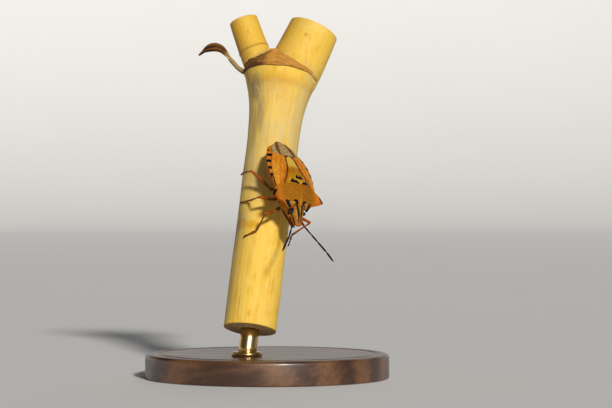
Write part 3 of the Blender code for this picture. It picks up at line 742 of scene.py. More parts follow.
def straw_finish(stem):
    """Dry stem: pale yellow skin with long fibres, grey weathering that also stands for painted
    shade on its left side, orange spots, painted shade left of the node and cut pith.
    """
    f = Finish("dry_stem", stem.straw, Specular_IOR_Level=0.2)
    own = f.own()
    fibres = f.group("Long Fibres", Place=own, Fineness=1.1)
    fine = f.ramp(fibres["Fine"], 0.3, 0.7)
    colour = f.mix(f.ramp(fibres["Broad"], 0.32, 0.68), stem.straw, stem.straw_warm)
    colour = f.mix(f.times(fine, 0.26), colour, stem.straw_pale)
    cloud = f.ramp(f.noise(own, 0.45, 5.0, 0.65), 0.52, 0.72)
    colour = f.mix(f.times(cloud, 0.35), colour, stem.straw_pale)
    blotch = f.ramp(f.noise(f.stretched(own, (1.0, 1.0, 0.4)), 0.9, 4.0, 0.6), 0.5, 0.68)
    amber = f.most(f.times(blotch, 0.55), f.read("amber"))
    colour = f.mix(amber, colour, stem.straw_amber)
    bleach = f.times(f.read("cream"), f.plus(fine, 0.35), clamp=True)
    colour = f.mix(bleach, colour, stem.straw_cream)
    # grey lays weathering, and painted shade on the stem's left side.
    weathering_and_shade = f.times(f.read("grey"), f.plus(fine, 0.3), clamp=True)
    colour = f.mix(weathering_and_shade, colour, stem.straw_grey)
    spots = f.ramp(f.noise(f.stretched(own, (1.0, 1.0, 0.22)), 1.7), 0.67, 0.76)
    spots = f.most(f.times(spots, 0.5), f.read("spot"))
    colour = f.mix(spots, colour, stem.straw_spot)
    # scar lays the dark of the scars, and the painted shade under the scale on the node's left
    # side.
    colour = f.mix(f.read("scar"), colour, stem.dry_dark)
    fleck = f.ramp(f.noise(own, 3.0, 5.0), 0.35, 0.65)
    pith = f.mix(fleck, (0.72, 0.62, 0.42), (0.5, 0.38, 0.2))
    pith = f.mix(f.ramp(f.cells(own, 1.9), 0.18, 0.1), pith, (0.3, 0.17, 0.06))
    rough = f.plus(f.plus(0.5, f.times(f.read("pith"), 0.3)), f.times(fine, 0.14))
    f.put(Base_Color=f.mix(f.read("pith"), colour, pith), Roughness=rough)
    f.bump(fibres["Fine"], 0.05, 0.7)


def dry_finish(name, light, dark, stem):
    """Papery dry leaf: streaked along its veins, darker where its dark value is high."""
    f = Finish(name, light, Specular_IOR_Level=0.12)
    fibres = f.group("Long Fibres", Place=f.own(), Fineness=2.6)
    streak = f.ramp(fibres["Fine"], 0.35, 0.65)
    share = f.plus(f.read("dark"), f.times(streak, 0.3), clamp=True)
    colour = f.mix(f.read("straw"), f.mix(share, light, dark), stem.straw_pale)
    f.put(Base_Color=colour, Roughness=f.plus(0.55, f.times(streak, 0.2)))
    f.bump(fibres["Fine"], 0.06, 0.8)


def walnut_finish(stand):
    """Oiled walnut: growth rings cut lengthwise, with pores and a soft satin coat."""
    f = Finish("walnut", stand.walnut_light, Coat_Weight=0.35, Coat_Roughness=0.22)
    place = f.node("TexCoord", {})["Object"]
    inputs = {"Vector": place, "Location": (0.004, 0.031, 0.0), "Rotation": (0.0, 0.12, 0.35)}
    place = f.node("Mapping", inputs)[0]
    inputs = {"Vector": f.stretched(place, (38.0, 330.0, 330.0)), "Scale": 0.2}
    inputs.update({"Distortion": 11.0, "Detail": 4.0, "Detail Scale": 0.55})
    rings = f.node("TexWave", inputs, wave_type="RINGS", rings_direction="X")["Fac"]
    streaks = f.noise(f.stretched(place, (90.0, 1500.0, 1500.0)), 1.0, 4.0, 0.6)
    rings = f.ramp(f.plus(f.times(rings, 0.45), streaks), 0.45, 1.1)
    pores = f.noise(f.stretched(place, (900.0, 9000.0, 9000.0)), 1.0, 3.0, 0.7)
    colour = f.mix(rings, stand.walnut_dark, stand.walnut_light)
    colour = f.mix(f.ramp(pores, 0.5, 0.72, 0.0, 0.6), colour, stand.walnut_dark)
    f.put(Base_Color=colour, Roughness=f.plus(0.36, f.times(pores, 0.16)))
    f.bump(pores, 0.02, 0.35)


def brass_finish(stand):
    """Drawn brass: fine marks along the rod and a little tarnish."""
    f = Finish("brass", stand.brass, Metallic=1.0)
    own = f.own()
    fine = f.group("Long Fibres", Place=own, Fineness=8.0)["Fine"]
    tarnish = f.ramp(f.noise(own, 0.6, 5.0), 0.45, 0.75, 0.0, 0.35)
    colour = f.mix(tarnish, stand.brass, (0.34, 0.2, 0.07))
    f.put(Base_Color=colour, Roughness=f.plus(0.2, f.times(fine, 0.16)))
    f.bump(fine, 0.004, 0.5)


# ---------------------------------------------------------------- settings


def paint(name, description, default):
    settings = {"subtype": "COLOR", "size": 3, "min": 0, "max": 1}
    return FloatVectorProperty(name=name, description=description, default=default, **settings)


def measure(name, description, millimetres):
    settings = {"default": millimetres * MM, "min": 0.0, "unit": "LENGTH", "precision": 6}
    return FloatProperty(name=name, description=description, **settings)


def strength(name, description, default):
    return FloatProperty(name=name, description=description, default=default, min=0)


class InsectSettings(bpy.types.PropertyGroup):
    """Colours and fine sizes of the insect."""

    ochre: paint("Ochre", "Ground of the pronotum and thorax", (0.38, 0.15, 0.003))
    head: paint("Head", "Ground of the head", (0.18, 0.073, 0.002))
    olive: paint("Olive", "Ground of the scutellum", (0.54, 0.255, 0.004))
    orange: paint("Orange", "Ground of the fore wings, rim and abdomen", (0.68, 0.22, 0.01))
    red: paint("Red Orange", "Flush along the margins and veins", (0.56, 0.1, 0.006))
    pale: paint("Pale Yellow", "Tip of the scutellum, and lines by the marks", (0.76, 0.47, 0.06))
    # Puncture also darkens the coxae and the pronotum's wrinkles as painted shade.
    pit: paint("Puncture", "Floor of the punctures", (0.16, 0.045, 0.006))
    ink: paint("Black", "Black marks, with a faint blue cast", (0.003, 0.004, 0.008))
    rust: paint("Rust", "Shins and knees", (0.2, 0.055, 0.004))
    amber: paint("Amber", "Ground of the legs", (0.4, 0.14, 0.006))
    eye: paint("Eye", "Dark of the compound eye", (0.014, 0.006, 0.01))
    eye_glow: paint("Eye Glow", "Lighter patches of the compound eye", (0.035, 0.012, 0.018))
    membrane: paint("Membrane", "Smoky part of the wing", (0.32, 0.2, 0.06))
    membrane_light: paint("Membrane Light", "Clear part of the wing", (0.45, 0.32, 0.14))
    membrane_dark: paint("Membrane Dark", "Veins and streak of the wing", (0.12, 0.048, 0.01))
    puncture_depth: measure("Puncture Depth", "Depth of the punctures in the plates", 0.03)
    plate_thickness: measure("Plate Thickness", "Thickness of the wing plates", 0.16)
    bristle_length: measure("Bristle Length", "Length of the bristles on the shins", 0.14)
    bristle_count: IntProperty(
        name="Bristles", description="Bristles on each shin", default=46, min=0
    )


class StemSettings(bpy.types.PropertyGroup):
    """Colours and fine sizes of the stem."""

    straw: paint("Straw", "Ground of the stem", (0.78, 0.5, 0.075))
    straw_warm: paint("Straw Warm", "Warmer fibres", (0.82, 0.5, 0.045))
    straw_pale: paint("Straw Pale", "Bleached fibres", (0.84, 0.66, 0.24))
    straw_amber: paint("Straw Amber", "Golden blotches", (0.66, 0.35, 0.01))
    straw_cream: paint("Straw Cream", "Bleached middle of the stem", (0.6, 0.48, 0.22))
    # Straw Grey is weathering, and painted shade on the stem's left side.
    straw_grey: paint("Straw Grey", "Weathered side", (0.25, 0.205, 0.12))
    straw_spot: paint("Straw Spot", "Orange spots and streaks", (0.66, 0.31, 0.03))
    dry_light: paint("Dry Light", "Light of the dry scale", (0.64, 0.3, 0.055))
    # Dry Dark also paints the shade under the scale on the node's left side.
    dry_dark: paint("Dry Dark", "Dark of the dry scale and the scars", (0.11, 0.045, 0.02))
    fibre_height: measure("Fibre Height", "Height of the ridges along the stem", 0.022)


class StandSettings(bpy.types.PropertyGroup):
    """Colours and sizes of the display stand."""

    walnut_light: paint("Walnut Light", "Light of the wood", (0.17, 0.075, 0.03))
    walnut_dark: paint("Walnut Dark", "Dark of the wood", (0.045, 0.018, 0.009))
    brass: paint("Brass", "Rod and collar", (0.75, 0.5, 0.2))
    edge: measure("Edge", "Rounding of the base's edge", 0.5)


class StageSettings(bpy.types.PropertyGroup):
    """Floor, lights and camera."""

    floor: paint("Floor", "Pale floor and backdrop", (0.82, 0.825, 0.83))
    key_power: strength("Key", "Strength of the key light", 3.4)
    fill_power: strength("Back", "Strength of the back light", 0.24)
    ambient: strength("Ambient", "Light from all round", 0.04)
    lens: FloatProperty(name="Lens", description="Focal length of the camera in mm", default=137.0)


# ---------------------------------------------------------------- insect: plates of the back


class PieceOperator(bpy.types.Operator):
    """Base of the operators: each makes one piece or a group of like pieces from one settings
    group."""

    bl_options = {"REGISTER", "UNDO"}
    reads = "shield_bug_insect"

    def execute(self, context):
        self.make(getattr(context.scene, self.reads))
        return {"FINISHED"}


class SHIELDBUG_OT_pronotum(PieceOperator):
    """Pronotum: a punctured shield with spines, wrinkled across, with four black stripes."""

    bl_idname = "shield_bug.pronotum"
    bl_label = "Pronotum"

    def make(self, looks):
        # Even shares across from spine to spine, and back from the front margin to the rear one.
        p, q = grid(122, 330)
        side = SPINE_REACH * (2 * q - 1) + 0 * p
        aside = np.abs(side)
        front, rear = pronotum_front(side), pronotum_rear(side)
        behind = (1 - p) * front + p * rear
        roll = 0.1 * ease(1 - (behind - front) / 0.3) * ease((1.5 - aside) / 0.4)
        points = insect_point(behind, side, pronotum_height(behind, side) - roll)

        callus = bell(np.hypot((aside - 1.12) / 0.42, (behind - 2.66) / 0.16), 1.0)
        margin = edge_distance(points)
        pit = punctures(side * 0.8, behind * 1.15, 0.15, 11, keep=0.92)
        pit = pit * (1 - 0.9 * callus) * ease(margin / 0.16)
        wave = np.sin(2 * np.pi * (behind + 0.05 * drift(side, behind, 0.5, 12)) / 0.235)
        fold = ease((behind - 2.9) / 0.5) * ease(margin / 0.3)
        rim = 0.03 * bell(margin - 0.09, 0.07) * ease((aside - 1.7) / 0.3)
        hollow = -0.05 * bell(behind - 2.98, 0.16) * bell(aside - 0.9, 0.9)
        relief = -looks.puncture_depth / MM * pit + 0.016 * wave * fold + rim + 0.03 * callus
        relief = relief + hollow

        outer = [(1.4, 1.98, 0.17), (1.58, 2.34, 0.2), (1.82, 2.66, 0.2), (2.08, 2.96, 0.11)]
        inner = [(0.45, 2.15, 0.13), (0.49, 2.5, 0.15), (0.56, 2.78, 0.18), (0.8, 2.9, 0.15)]
        inner += [(1.1, 2.92, 0.07)]
        spot = [(0.78, 2.52, 0.09), (0.92, 2.4, 0.06)]
        hook = [(1.9, 2.78, 0.09), (1.66, 2.9, 0.07)]
        spine = [(3.62, 4.16, 0.04), (3.9, 3.84, 0.14), (4.1, 3.6, 0.19), (4.34, 3.34, 0.24)]
        ink = strokes(aside, behind, outer, inner, spot, hook, spine)
        fore = ease(1 - (behind - front) / 0.5)
        tone = 0.95 * ease((aside - 2.3) / 1.3) + 0.5 * fore * ease((aside - 1.5) / 0.5)
        red = 0.9 * fore * ease((aside - 1.75) / 0.5) + 0.35 * ease((aside - 3.1) / 0.9)
        pale = 0.55 * bell(side, 0.07) * ease((4.3 - behind) / 1.2) + 0.35 * callus
        floats = {
            "tone": np.clip(tone, 0, 1),
            "red": red + 0.3 * ease(1 - (rear - behind) / 0.14) * ease((2.5 - aside) / 0.4),
            "pale": pale + 0.25 * ease(1 - (behind - front) / 0.12) * ease((1.2 - aside) / 0.3),
            # The troughs of the wrinkles are darkened through pit as painted shade.
            "pit": pit + 0.34 * fold * ease(-wave),
            "ink": ink + 0.03 * drift(side, behind, 0.12, 13),
        }
        finish = ("ochre_cuticle", "orange_cuticle")
        plate("pronotum", points, 0.34, 0.14, relief, floats, *finish)


class SHIELDBUG_OT_scutellum(PieceOperator):
    """Scutellum: a punctured tongue with three black marks at its base and a pale tip."""

    bl_idname = "shield_bug.scutellum"
    bl_label = "Scutellum"

    def make(self, looks):
        # Rows run from the pronotum's rear margin to the tip, closer towards it by a power of 1.3.
        p, q = grid(190, 150)
        along = 1 - (1 - p) ** 1.3
        corner = pronotum_rear(SCUTELLUM_BASE) + 0.02
        behind = corner + (SCUTELLUM_TIP - corner) * along + 0 * q
        side = (scutellum_side(behind) - 0.02) * (2 * q - 1)
        behind = behind + (pronotum_rear(side) - 0.03 - corner) * (1 - along) ** 3
        points = insect_point(behind, side, scutellum_height(behind, side) - 0.02)
        aside, off = np.abs(side), np.abs(side - 0.12)

        margin = edge_distance(points)
        tip = ease((behind - 7.3 - 0.15 * drift(side, behind, 0.5, 21)) / 0.9)
        pit = punctures(side * 0.85, behind * 1.1, 0.155, 22, keep=0.9)
        pit = pit * ease(margin / 0.12) * (1 - 0.8 * tip)
        wave = np.sin(2 * np.pi * (behind + 0.06 * drift(side, behind, 0.45, 23)) / 0.25)
        wrinkle = 0.009 * wave * ease((6.8 - behind) / 1.2)
        fold = bell(aside - (scutellum_side(behind) - 0.28), 0.08) * ease((7.6 - behind) / 0.8)
        relief = -looks.puncture_depth / MM * pit + wrinkle - 0.03 * fold

        base = [(0.36, 5.14, 0.12), (0.62, 5.26, 0.22), (0.95, 5.3, 0.19), (1.25, 5.38, 0.24)]
        base += [(1.6, 5.34, 0.06)]
        lobe = [(1.16, 5.5, 0.17), (1.2, 5.72, 0.06)]
        middle = [(0.04, 5.94, 0.2), (0.3, 6.04, 0.24), (0.5, 5.9, 0.14)]
        horn = [(0.3, 6.14, 0.18), (0.26, 6.4, 0.07)]
        lines = [(0.0, 5.24, 0.12), (0.5, 5.56, 0.06), (0.74, 5.98, 0.03)]
        corner_spot = [(1.62, 5.5, 0.1), (1.5, 5.85, 0.06)]
        cross = [(0.0, 5.62, 0.05), (0.25, 5.64, 0.03)]
        veil = strokes(off, behind, lines, corner_spot, cross)
        pale = np.maximum(0.95 * tip, 0.8 * ease(0.5 + veil / 0.12))
        keel = 0.35 * bell(side, 0.06) * ease((behind - 6.3) / 0.5)
        ink = strokes(off, behind, base, lobe, middle, horn)
        floats = {
            "tone": 0.15 + 0.3 * ease((behind - 6.4) / 0.7),
            "red": 0.35 * bell(behind - 7.1, 0.5) + 0.4 * ease(1 - margin / 0.1),
            "pale": np.maximum(pale, keel),
            "pit": pit,
            "ink": ink + 0.025 * drift(side, behind, 0.1, 24),
        }
        finish = ("olive_cuticle", "ochre_cuticle")
        plate("scutellum", points, 0.34, 0.12, relief, floats, *finish)


def wing_grid(p, q, inner, outer, front, rear=None):
    """Grid between two edges of a wing. A share (1 - p)^4 of the way to its front line, and p^4 of
    the way to its rear line, is added, so its ends follow those lines."""

    def blend(t):
        # A straight mix of the two edges, by the share across.
        (behind_in, side_in), (behind_out, side_out) = inner(t), outer(t)
        return (1 - q) * behind_in + q * behind_out, (1 - q) * side_in + q * side_out

    behind, side = blend(p)
    ends = [(0.0, front, (1 - p) ** 4)]
    if rear is not None:
        ends.append((1.0, rear, p**4))
    for end, line, share in ends:
        end_behind, end_side = blend(end)
        behind = behind + (line(end_side) - end_behind) * share
    return behind, side


class SHIELDBUG_OT_wings(PieceOperator):
    """Fore wings: leathery orange coria with raised veins, and smoky membranes behind them."""

    bl_idname = "shield_bug.wings"
    bl_label = "Wings"

    def corium(self, looks, hand, name):
        """Grid from the scutellum's side to the outer edge on the height of the folded wings, with
        a bell along its vein, a groove along its claval line and pits at scattered dots."""
        p, q = grid(230, 110)
        inner_ends, outer_ends = (5.2, 9.66), (4.86, 9.93)

        # Both edges are followed by even shares of their way back.
        def scutellum_edge(behind):
            return scutellum_side(np.minimum(behind, SCUTELLUM_TIP - 0.15))

        def inner(t):
            behind = inner_ends[0] + (inner_ends[1] - inner_ends[0]) * t
            return behind, scutellum_edge(behind) + 0.005

        def outer(t):
            behind = outer_ends[0] + (outer_ends[1] - outer_ends[0]) * t
            return behind, corium_side(behind)

        behind, side = wing_grid(p, q, inner, outer, lambda s: pronotum_rear(s) - 0.02, suture)
        inset = side - scutellum_edge(behind)
        points = insect_point(behind, side, wing_height(behind, side) - 0.02)
        margin = edge_distance(points)
        vein_line = smooth(behind, [4.9, 6.0, 7.5, 8.8, 9.9], [2.95, 2.84, 2.45, 1.98, 1.72])
        claval = smooth(behind, [5.0, 6.0, 7.5, 9.0], [2.72, 2.26, 1.62, 1.1])
        vein = bell(side - vein_line, 0.09)
        groove = bell(side - claval, 0.045) * ease((9.2 - behind) / 0.5)
        outside = ease((side - vein_line - 0.05) / 0.12)
        pit = punctures(side, behind * 1.05, 0.145, 31 + hand, keep=0.95)
        pit = pit * (1 - 0.85 * vein) * (1 - 0.35 * outside) * ease(margin / 0.1)
        relief = -looks.puncture_depth / MM * pit + 0.035 * vein - 0.045 * groove
        relief = relief + 0.006 * drift(side, behind, 0.07, 33)
        relief = relief + 0.02 * bell(margin - 0.06, 0.05) * outside

        dark_edge = [(0.0, 5.0, 0.06), (0.03, 6.6, 0.13), (0.04, 8.3, 0.16), (0.06, 9.35, 0.2)]
        dark_edge += [(0.12, 9.7, 0.22)]
        ink = strokes(inset, behind, dark_edge) + 0.03 * drift(side, behind, 0.14, 34) - 0.04
        apex = strokes(side, behind, [(0.5, 9.5, 0.18), (0.66, 9.58, 0.14)])
        # Darker towards the inner edge, by the scutellum.
        inner_edge_dark = ease(1 - inset / (0.42 + 0.08 * drift(side, behind, 0.3, 36)))
        patchy = 0.5 + 0.5 * drift(side * 1.6, behind, 0.34, 35 + hand)
        red = 0.05 + 0.6 * ease(patchy * 1.6 - 0.85) + 0.6 * ease(1 - inset / 0.4)
        red = red + 0.35 * groove + 0.3 * bell(side - vein_line + 0.16, 0.1)
        pale = 0.42 * vein + 0.5 * ease(0.75 - patchy * 1.5)
        pale = pale + 0.32 * outside * ease((9.0 - behind) / 1.5)
        floats = {
            "tone": 1.0,
            "red": np.clip(red, 0, 1),
            "pale": np.clip(pale, 0, 0.7),
            "pit": np.clip(0.6 * pit + 1.2 * inner_edge_dark, 0, 1.2),
            "ink": np.maximum(ink, apex),
        }
        points = points * np.array([1.0, hand, 1.0])
        finish = ("orange_cuticle", "orange_cuticle")
        plate(name, points, looks.plate_thickness / MM, 0.09, relief, floats, *finish)

    def membrane(self, hand, name, tuck, inner_tip, outer_tip):
        """Grid from the overlap to the outer edge, just under the height of the folded wings and
        rippled by a random field. A vein runs where a fan of lines has a whole number."""
        p, q = grid(120, 96)
        # Shares of the way back along both edges draw closer together towards the tip.
        inner_root, outer_root, closing = 9.6, 9.9, 1.35

        def inner(t):
            behind = inner_root + (inner_tip - inner_root) * (1 - (1 - t) ** closing)
            return behind, membrane_overlap(behind) - tuck

        def outer(t):
            behind = outer_root + (outer_tip - outer_root) * (1 - (1 - t) ** closing)
            return behind, hand * membrane_side(behind)

        behind, side = wing_grid(p, q, inner, outer, lambda s: suture(s) - 0.08)
        under = 0.07 * ease((membrane_overlap(behind) - side + 0.1) / 0.3) if hand > 0 else 0.0
        ripple = 0.022 * drift(side, behind, 0.55, 41 + hand)
        points = insect_point(behind, side, wing_height(behind, side) - 0.07 - under + ripple)
        aside = hand * side
        fan = (aside - 0.1) / np.maximum(0.35 + 0.16 * (12.9 - behind), 0.2)
        wave = np.abs((fan * 2.4 + 0.1 * drift(side, behind, 0.6, 43)) % 1.0 - 0.5)
        vein = bell(wave - 0.5, 0.055) * ease((behind - 9.9) / 0.3)
        streak = [(1.2, 9.8, 0.2), (1.24, 10.4, 0.27), (1.08, 11.1, 0.3), (0.66, 12.05, 0.22)]
        streak = strokes(aside, behind, streak + [(0.42, 12.45, 0.16)])
        foot = strokes(aside, behind, [(0.0, 9.7, 0.13), (0.3, 9.74, 0.1), (0.7, 9.74, 0.05)])
        ink = np.maximum(streak + 0.05 * (1 + hand), foot) + 0.02 * drift(side, behind, 0.15, 44)
        floats = {"vein": vein, "ink": ink}
        finish = ("wing_membrane", "wing_membrane")
        plate(name, points, 0.075, 0.05, 0.022 * vein, floats, *finish)

    def make(self, looks):
        self.corium(looks, 1, "corium_left")
        self.corium(looks, -1, "corium_right")
        self.membrane(-1, "membrane_right", 0.0, 12.42, 12.5)
        self.membrane(1, "membrane_left", 0.35, 12.1, 12.14)


class SHIELDBUG_OT_rim(PieceOperator):
    """Rim of the abdomen: five segments a side, orange with black at their joints."""

    bl_idname = "shield_bug.rim"
    bl_label = "Abdomen Rim"

    def make(self, looks):
        # Even shares from under the wing's edge out to the side of the abdomen.
        p, q = grid(230, 26)
        front, rear, corium_end = 6.2, 11.55, 9.94
        behind = front + (rear - front) * p + 0 * q
        wing = np.where(behind < corium_end, corium_side(behind), membrane_side(behind))
        joint = nearest(behind, RIM_JOINTS)
        notch = sum(
            ease((behind - at + 0.16) / 0.16) * ease((at + 0.02 - behind) / 0.04)
            for at in RIM_JOINTS
        )
        side = (1 - q) * (wing - 0.3) + q * (abdomen_side(behind) + 0.02 + 0.03 * notch)
        height = wing_height(behind, side) - 0.12 - 0.08 * (1 - q) + 0.1 * q**2
        points = insect_point(behind, side, height - 0.3 * ease((behind - 9.8) / 1.5))
        for hand, side_name in HANDS:
            pit = punctures(side, behind, 0.12, 51 + hand, keep=0.8)
            relief = -0.7 * looks.puncture_depth / MM * pit - 0.03 * bell(joint, 0.02)
            relief = relief + 0.015 * bell(q - 0.93, 0.06)
            floats = {
                "tone": 1.0,
                "red": 0.1 + 0.25 * q,
                "pale": 0.3 * bell(q - 0.9, 0.12),
                "pit": pit,
                "ink": 0.235 - joint + 0.03 * drift(side, behind, 0.16, 53),
            }
            mirrored = points * np.array([1.0, hand, 1.0])
            finish = ("orange_cuticle", "orange_cuticle")
            plate(f"connexivum_{side_name}", mirrored, 0.26, 0.1, relief, floats, *finish)


# ---------------------------------------------------------------- insect: trunk and head


def trunk_rings(behind, half, roof, lip, floor, around=96):
    """Sections of the trunk. Above, the roof less a lip that grows as the 8th power of the share
    of the half-width. Below, a shallow keel, (1 - share^2)^1.15 of the way down to the floor."""
    turn = circle(around)[None]
    share = np.cos(turn)
    side = half * share
    top = roof(behind, side) - lip * share**8
    edge = roof(behind, half) - lip
    below = edge - (edge - floor) * np.maximum(1 - share**2, 0) ** 1.15
    return side, np.where(np.sin(turn) >= 0, top, below)


class SHIELDBUG_OT_trunk(PieceOperator):
    """Thorax and abdomen under the plates, with segment grooves, spiracles and punctures."""

    bl_idname = "shield_bug.trunk"
    bl_label = "Trunk"

    def make(self, looks):
        self.thorax(looks.puncture_depth / MM)
        self.abdomen(looks.puncture_depth / MM)

    def thorax(self, depth):
        """Trunk sections under the pronotum and the wings, whichever is lower, with grooves
        between the plates of its sides."""
        behind = np.linspace(2.3, 6.84, 120)[:, None]
        half = smooth(behind, [2.3, 2.8, 3.4, 4.2, 5.2, 6.84], [1.3, 1.98, 2.86, 3.2, 3.2, 3.44])
        floor = smooth(behind, [2.3, 3.0, 4.0, 6.84], [0.82, 0.6, 0.46, 0.42])

        def roof(b, s):
            front, rear = pronotum_height(b, s), wing_height(b, s)
            return np.where(b < 4.4, front, np.minimum(front, rear)) - UNDER_PLATES

        side, height = trunk_rings(behind, half, roof, 0.25, floor)
        aside, rise = np.abs(side), height - floor
        plates = nearest(behind + 0.18 * aside / 3, (3.85, 5.35))
        pit = punctures(side, behind + 0.7 * height, 0.16, 61) * ease(plates / 0.1)
        relief = -0.9 * depth * pit - 0.05 * bell(plates, 0.045)
        rings = swollen(insect_point(behind, side, height), relief)
        spots = ((2.2, 3.3), (2.5, 4.6), (2.6, 5.9))
        spots = ([(at, b, 0.09), (at + 0.12, b, 0.05)] for at, b in spots)
        floats = {
            "tone": 0.35,
            "red": 0.1 + 0.2 * ease(rise / 2),
            "pale": 0.25 * ease(1 - rise),
            "pit": pit,
            "ink": strokes(aside, behind, *spots),
        }
        piece("thorax", skin(rings, floats), "ochre_cuticle", "ochre_cuticle")

    def abdomen(self, depth):
        """Trunk sections under the wings, grooved below at each joint of the rim."""
        behind = np.linspace(6.7, 11.98, 190)[:, None]
        half = abdomen_side(behind) - 0.05
        stations = [6.7, 7.3, 8.0, 9.0, 10.0, 11.0, 11.98]
        floor = smooth(behind, stations, [0.42, 0.2, 0.1, 0.22, 0.62, 1.22, 1.9])
        side, height = trunk_rings(behind, half, lambda b, s: wing_height(b, s) - 0.24, 0.1, floor)
        aside, joints = np.abs(side), RIM_JOINTS[1:]
        joint = nearest(behind - 0.25 * (aside / half) ** 2, joints)
        pit = punctures(side, behind + 0.5 * height, 0.15, 66) * ease(joint / 0.08)
        below = height < wing_height(behind, half) - 0.35
        relief = -0.8 * depth * pit - 0.05 * bell(joint, 0.035) * below
        rings = swollen(insect_point(behind, side, height), relief)
        spiracles = ([(0.76 * abdomen_side(b + 0.5), b + 0.45, 0.075)] * 2 for b in joints)
        edge_mark = 0.2 - nearest(behind, RIM_JOINTS) - 3.0 * ease((half - aside) / 0.2)
        floats = {
            "tone": 0.7,
            "red": 0.25 + 0.3 * bell(joint, 0.1),
            "pale": 0.2 * bell(aside, 0.6),
            "pit": pit,
            "ink": np.maximum(strokes(aside, behind, *spiracles), edge_mark),
        }
        piece("abdomen", skin(rings, floats), "orange_cuticle", "ochre_cuticle")


class SHIELDBUG_OT_head(PieceOperator):
    """Head: three lobes that meet in a blunt tip, with black lines, eyes, ocelli and tubercles."""

    bl_idname = "shield_bug.head"
    bl_label = "Head"

    def make(self, looks):
        # Eyes and ocelli are ellipsoids, and each tubercle is a short limb.
        self.head(looks.puncture_depth / MM)
        for hand, side_name in HANDS:
            eye = ball(insect_point(1.8, hand * 1.1, 2.4), (0.26, 0.22, 0.28), 64, 40)
            piece(f"eye_{side_name}", skin(eye, {}), "compound_eye", "eye")
            spot = insect_point(1.97, hand * 0.64, head_top(1.97, 0.64) - 0.005)
            ocellus = ball(spot, (0.085, 0.08, 0.06), 24, 12)
            piece(f"ocellus_{side_name}", skin(ocellus, {}), "ocellus", "eye")
            ends = insect_point(1.78, hand * 0.7, 1.6), insect_point(1.4, hand * 0.87, 1.74)
            tubercle, _ = limb(*ends, [(0, 0.2), (0.5, 0.2), (0.85, 0.17), (1, 0.14)], 24)
            shape = skin(tubercle, {"tone": 0.5, "red": 0.3, "pale": 0.1, "pit": 0.0, "ink": -0.02})
            piece(f"antennal_tubercle_{side_name}", shape, "head_cuticle", "ochre_cuticle")

    def head(self, depth):
        """Sections that grow out of the tip by a quarter circle. Their tops and floors leave the
        edge by the 0.85th power of the sine of the turn."""
        reach, lead, nose_length = 2.24, 0.012, 0.17
        behind = (reach * np.linspace(0, 1, 116) ** 1.25)[:, None] - lead
        turn = circle(168)[None]
        nose = np.clip((behind + lead) / nose_length, 0.0, 1)
        nose = np.sqrt(np.clip(1 - (1 - nose) ** 2, 1e-4, 1))
        half, edge, crown = head_half(behind), head_edge(behind), head_crown(behind)
        floor = smooth(behind, [0.0, 0.3, 0.8, 1.5, 2.2], [1.84, 1.55, 1.22, 0.98, 0.84])
        above = np.sin(turn) >= 0
        rise = np.abs(np.sin(turn)) ** 0.85
        side = half * nose * np.cos(turn) * np.where(above, 1.0, 1.0 - 0.2 * rise)
        up, down = edge + (crown - edge) * rise * nose, edge - (edge - floor) * rise * nose
        height = np.where(above, up, down)
        aside = np.abs(side)
        top = above * ease(rise / 0.3)

        line = lobe_side(behind)
        groove = bell(aside - line, 0.035) * ease((2.1 - behind) / 0.4)
        groove = groove * ease((behind + 0.05) / 0.1)
        lobe = np.clip(1 - (side / line) ** 2, 0, 1)
        pit = punctures(side, behind + 0.6 * height, 0.125, 71, keep=0.85)
        pit = pit * (1 - 0.8 * lobe * above) * (1 - groove) * ease((behind - 0.12) / 0.1)
        lip = bell(rise - 0.12, 0.16) * above * ease((behind - 0.05) / 0.2)
        notch = bell(aside - 0.17, 0.035) * ease((0.1 - behind) / 0.1)
        jowl = bell(aside - 0.26, 0.09) * (~above) * ease((behind - 0.25) / 0.3)
        jowl = jowl * ease((1.7 - behind) / 0.3)
        cheek = bell(behind - 1.1, 0.28) * bell(height - 1.62, 0.2) * (~above)
        relief = -0.75 * depth * pit - 0.045 * groove * top + 0.03 * lobe * top
        relief = relief + 0.03 * lip - 0.05 * notch * top + 0.1 * jowl + 0.05 * cheek
        rings = swollen(insect_point(behind, side, height), relief)

        inner = 0.05 + 0.115 * ease((behind - 0.5) / 0.9) - 0.3 * ease((0.5 - behind) / 0.3)
        inner = np.where(above, inner - np.abs(aside - line - 0.02), -1.0)
        flank = (0.15 - rise) * 0.5 * ease((behind - 0.12) / 0.12)
        flank = np.where(behind > 0.15, flank, -0.3) * above - 0.5 * (~above)
        back = strokes(aside, behind, [(0.98, 2.0, 0.17), (1.06, 2.2, 0.17)])
        eye_ring = [(0.98, 1.45, 0.05), (0.9, 1.75, 0.04), (0.92, 2.0, 0.06)]
        eye_ring = strokes(aside, behind, eye_ring)
        low = 0.075 - np.abs(height - edge + 0.05) + 0.03 * drift(side, behind + height, 0.3, 73)
        marks = [inner, flank, back, np.where(above, eye_ring, -1), np.where(above, -1.0, low)]
        brown = bell(behind - 0.5, 0.3) * bell(side, 0.34) * above
        pale = 0.4 * bell(aside - line - 0.26, 0.14) * ease((behind - 0.65) / 0.4) * above
        pale = pale + 0.2 * lobe * above * ease((behind - 0.7) / 0.4)
        pale = pale + 0.35 * bell(aside - 0.78, 0.12) * bell(behind - 1.35, 0.2)
        red = 0.9 * ease(1 - behind / 0.24) + 0.35 * ease((1.5 - height) / 0.3)
        floats = {
            "tone": 0.2 + 0.5 * ease(1 - behind / 0.6),
            "red": np.clip(red, 0, 1),
            "pale": np.clip(pale, 0, 0.85),
            "pit": np.clip(pit + 0.5 * brown + 0.25 * groove * above, 0, 1),
            "ink": np.maximum.reduce(marks) + 0.014 * drift(side, behind, 0.09, 72),
        }
        piece("head", skin(rings, floats), "head_cuticle", "ochre_cuticle")


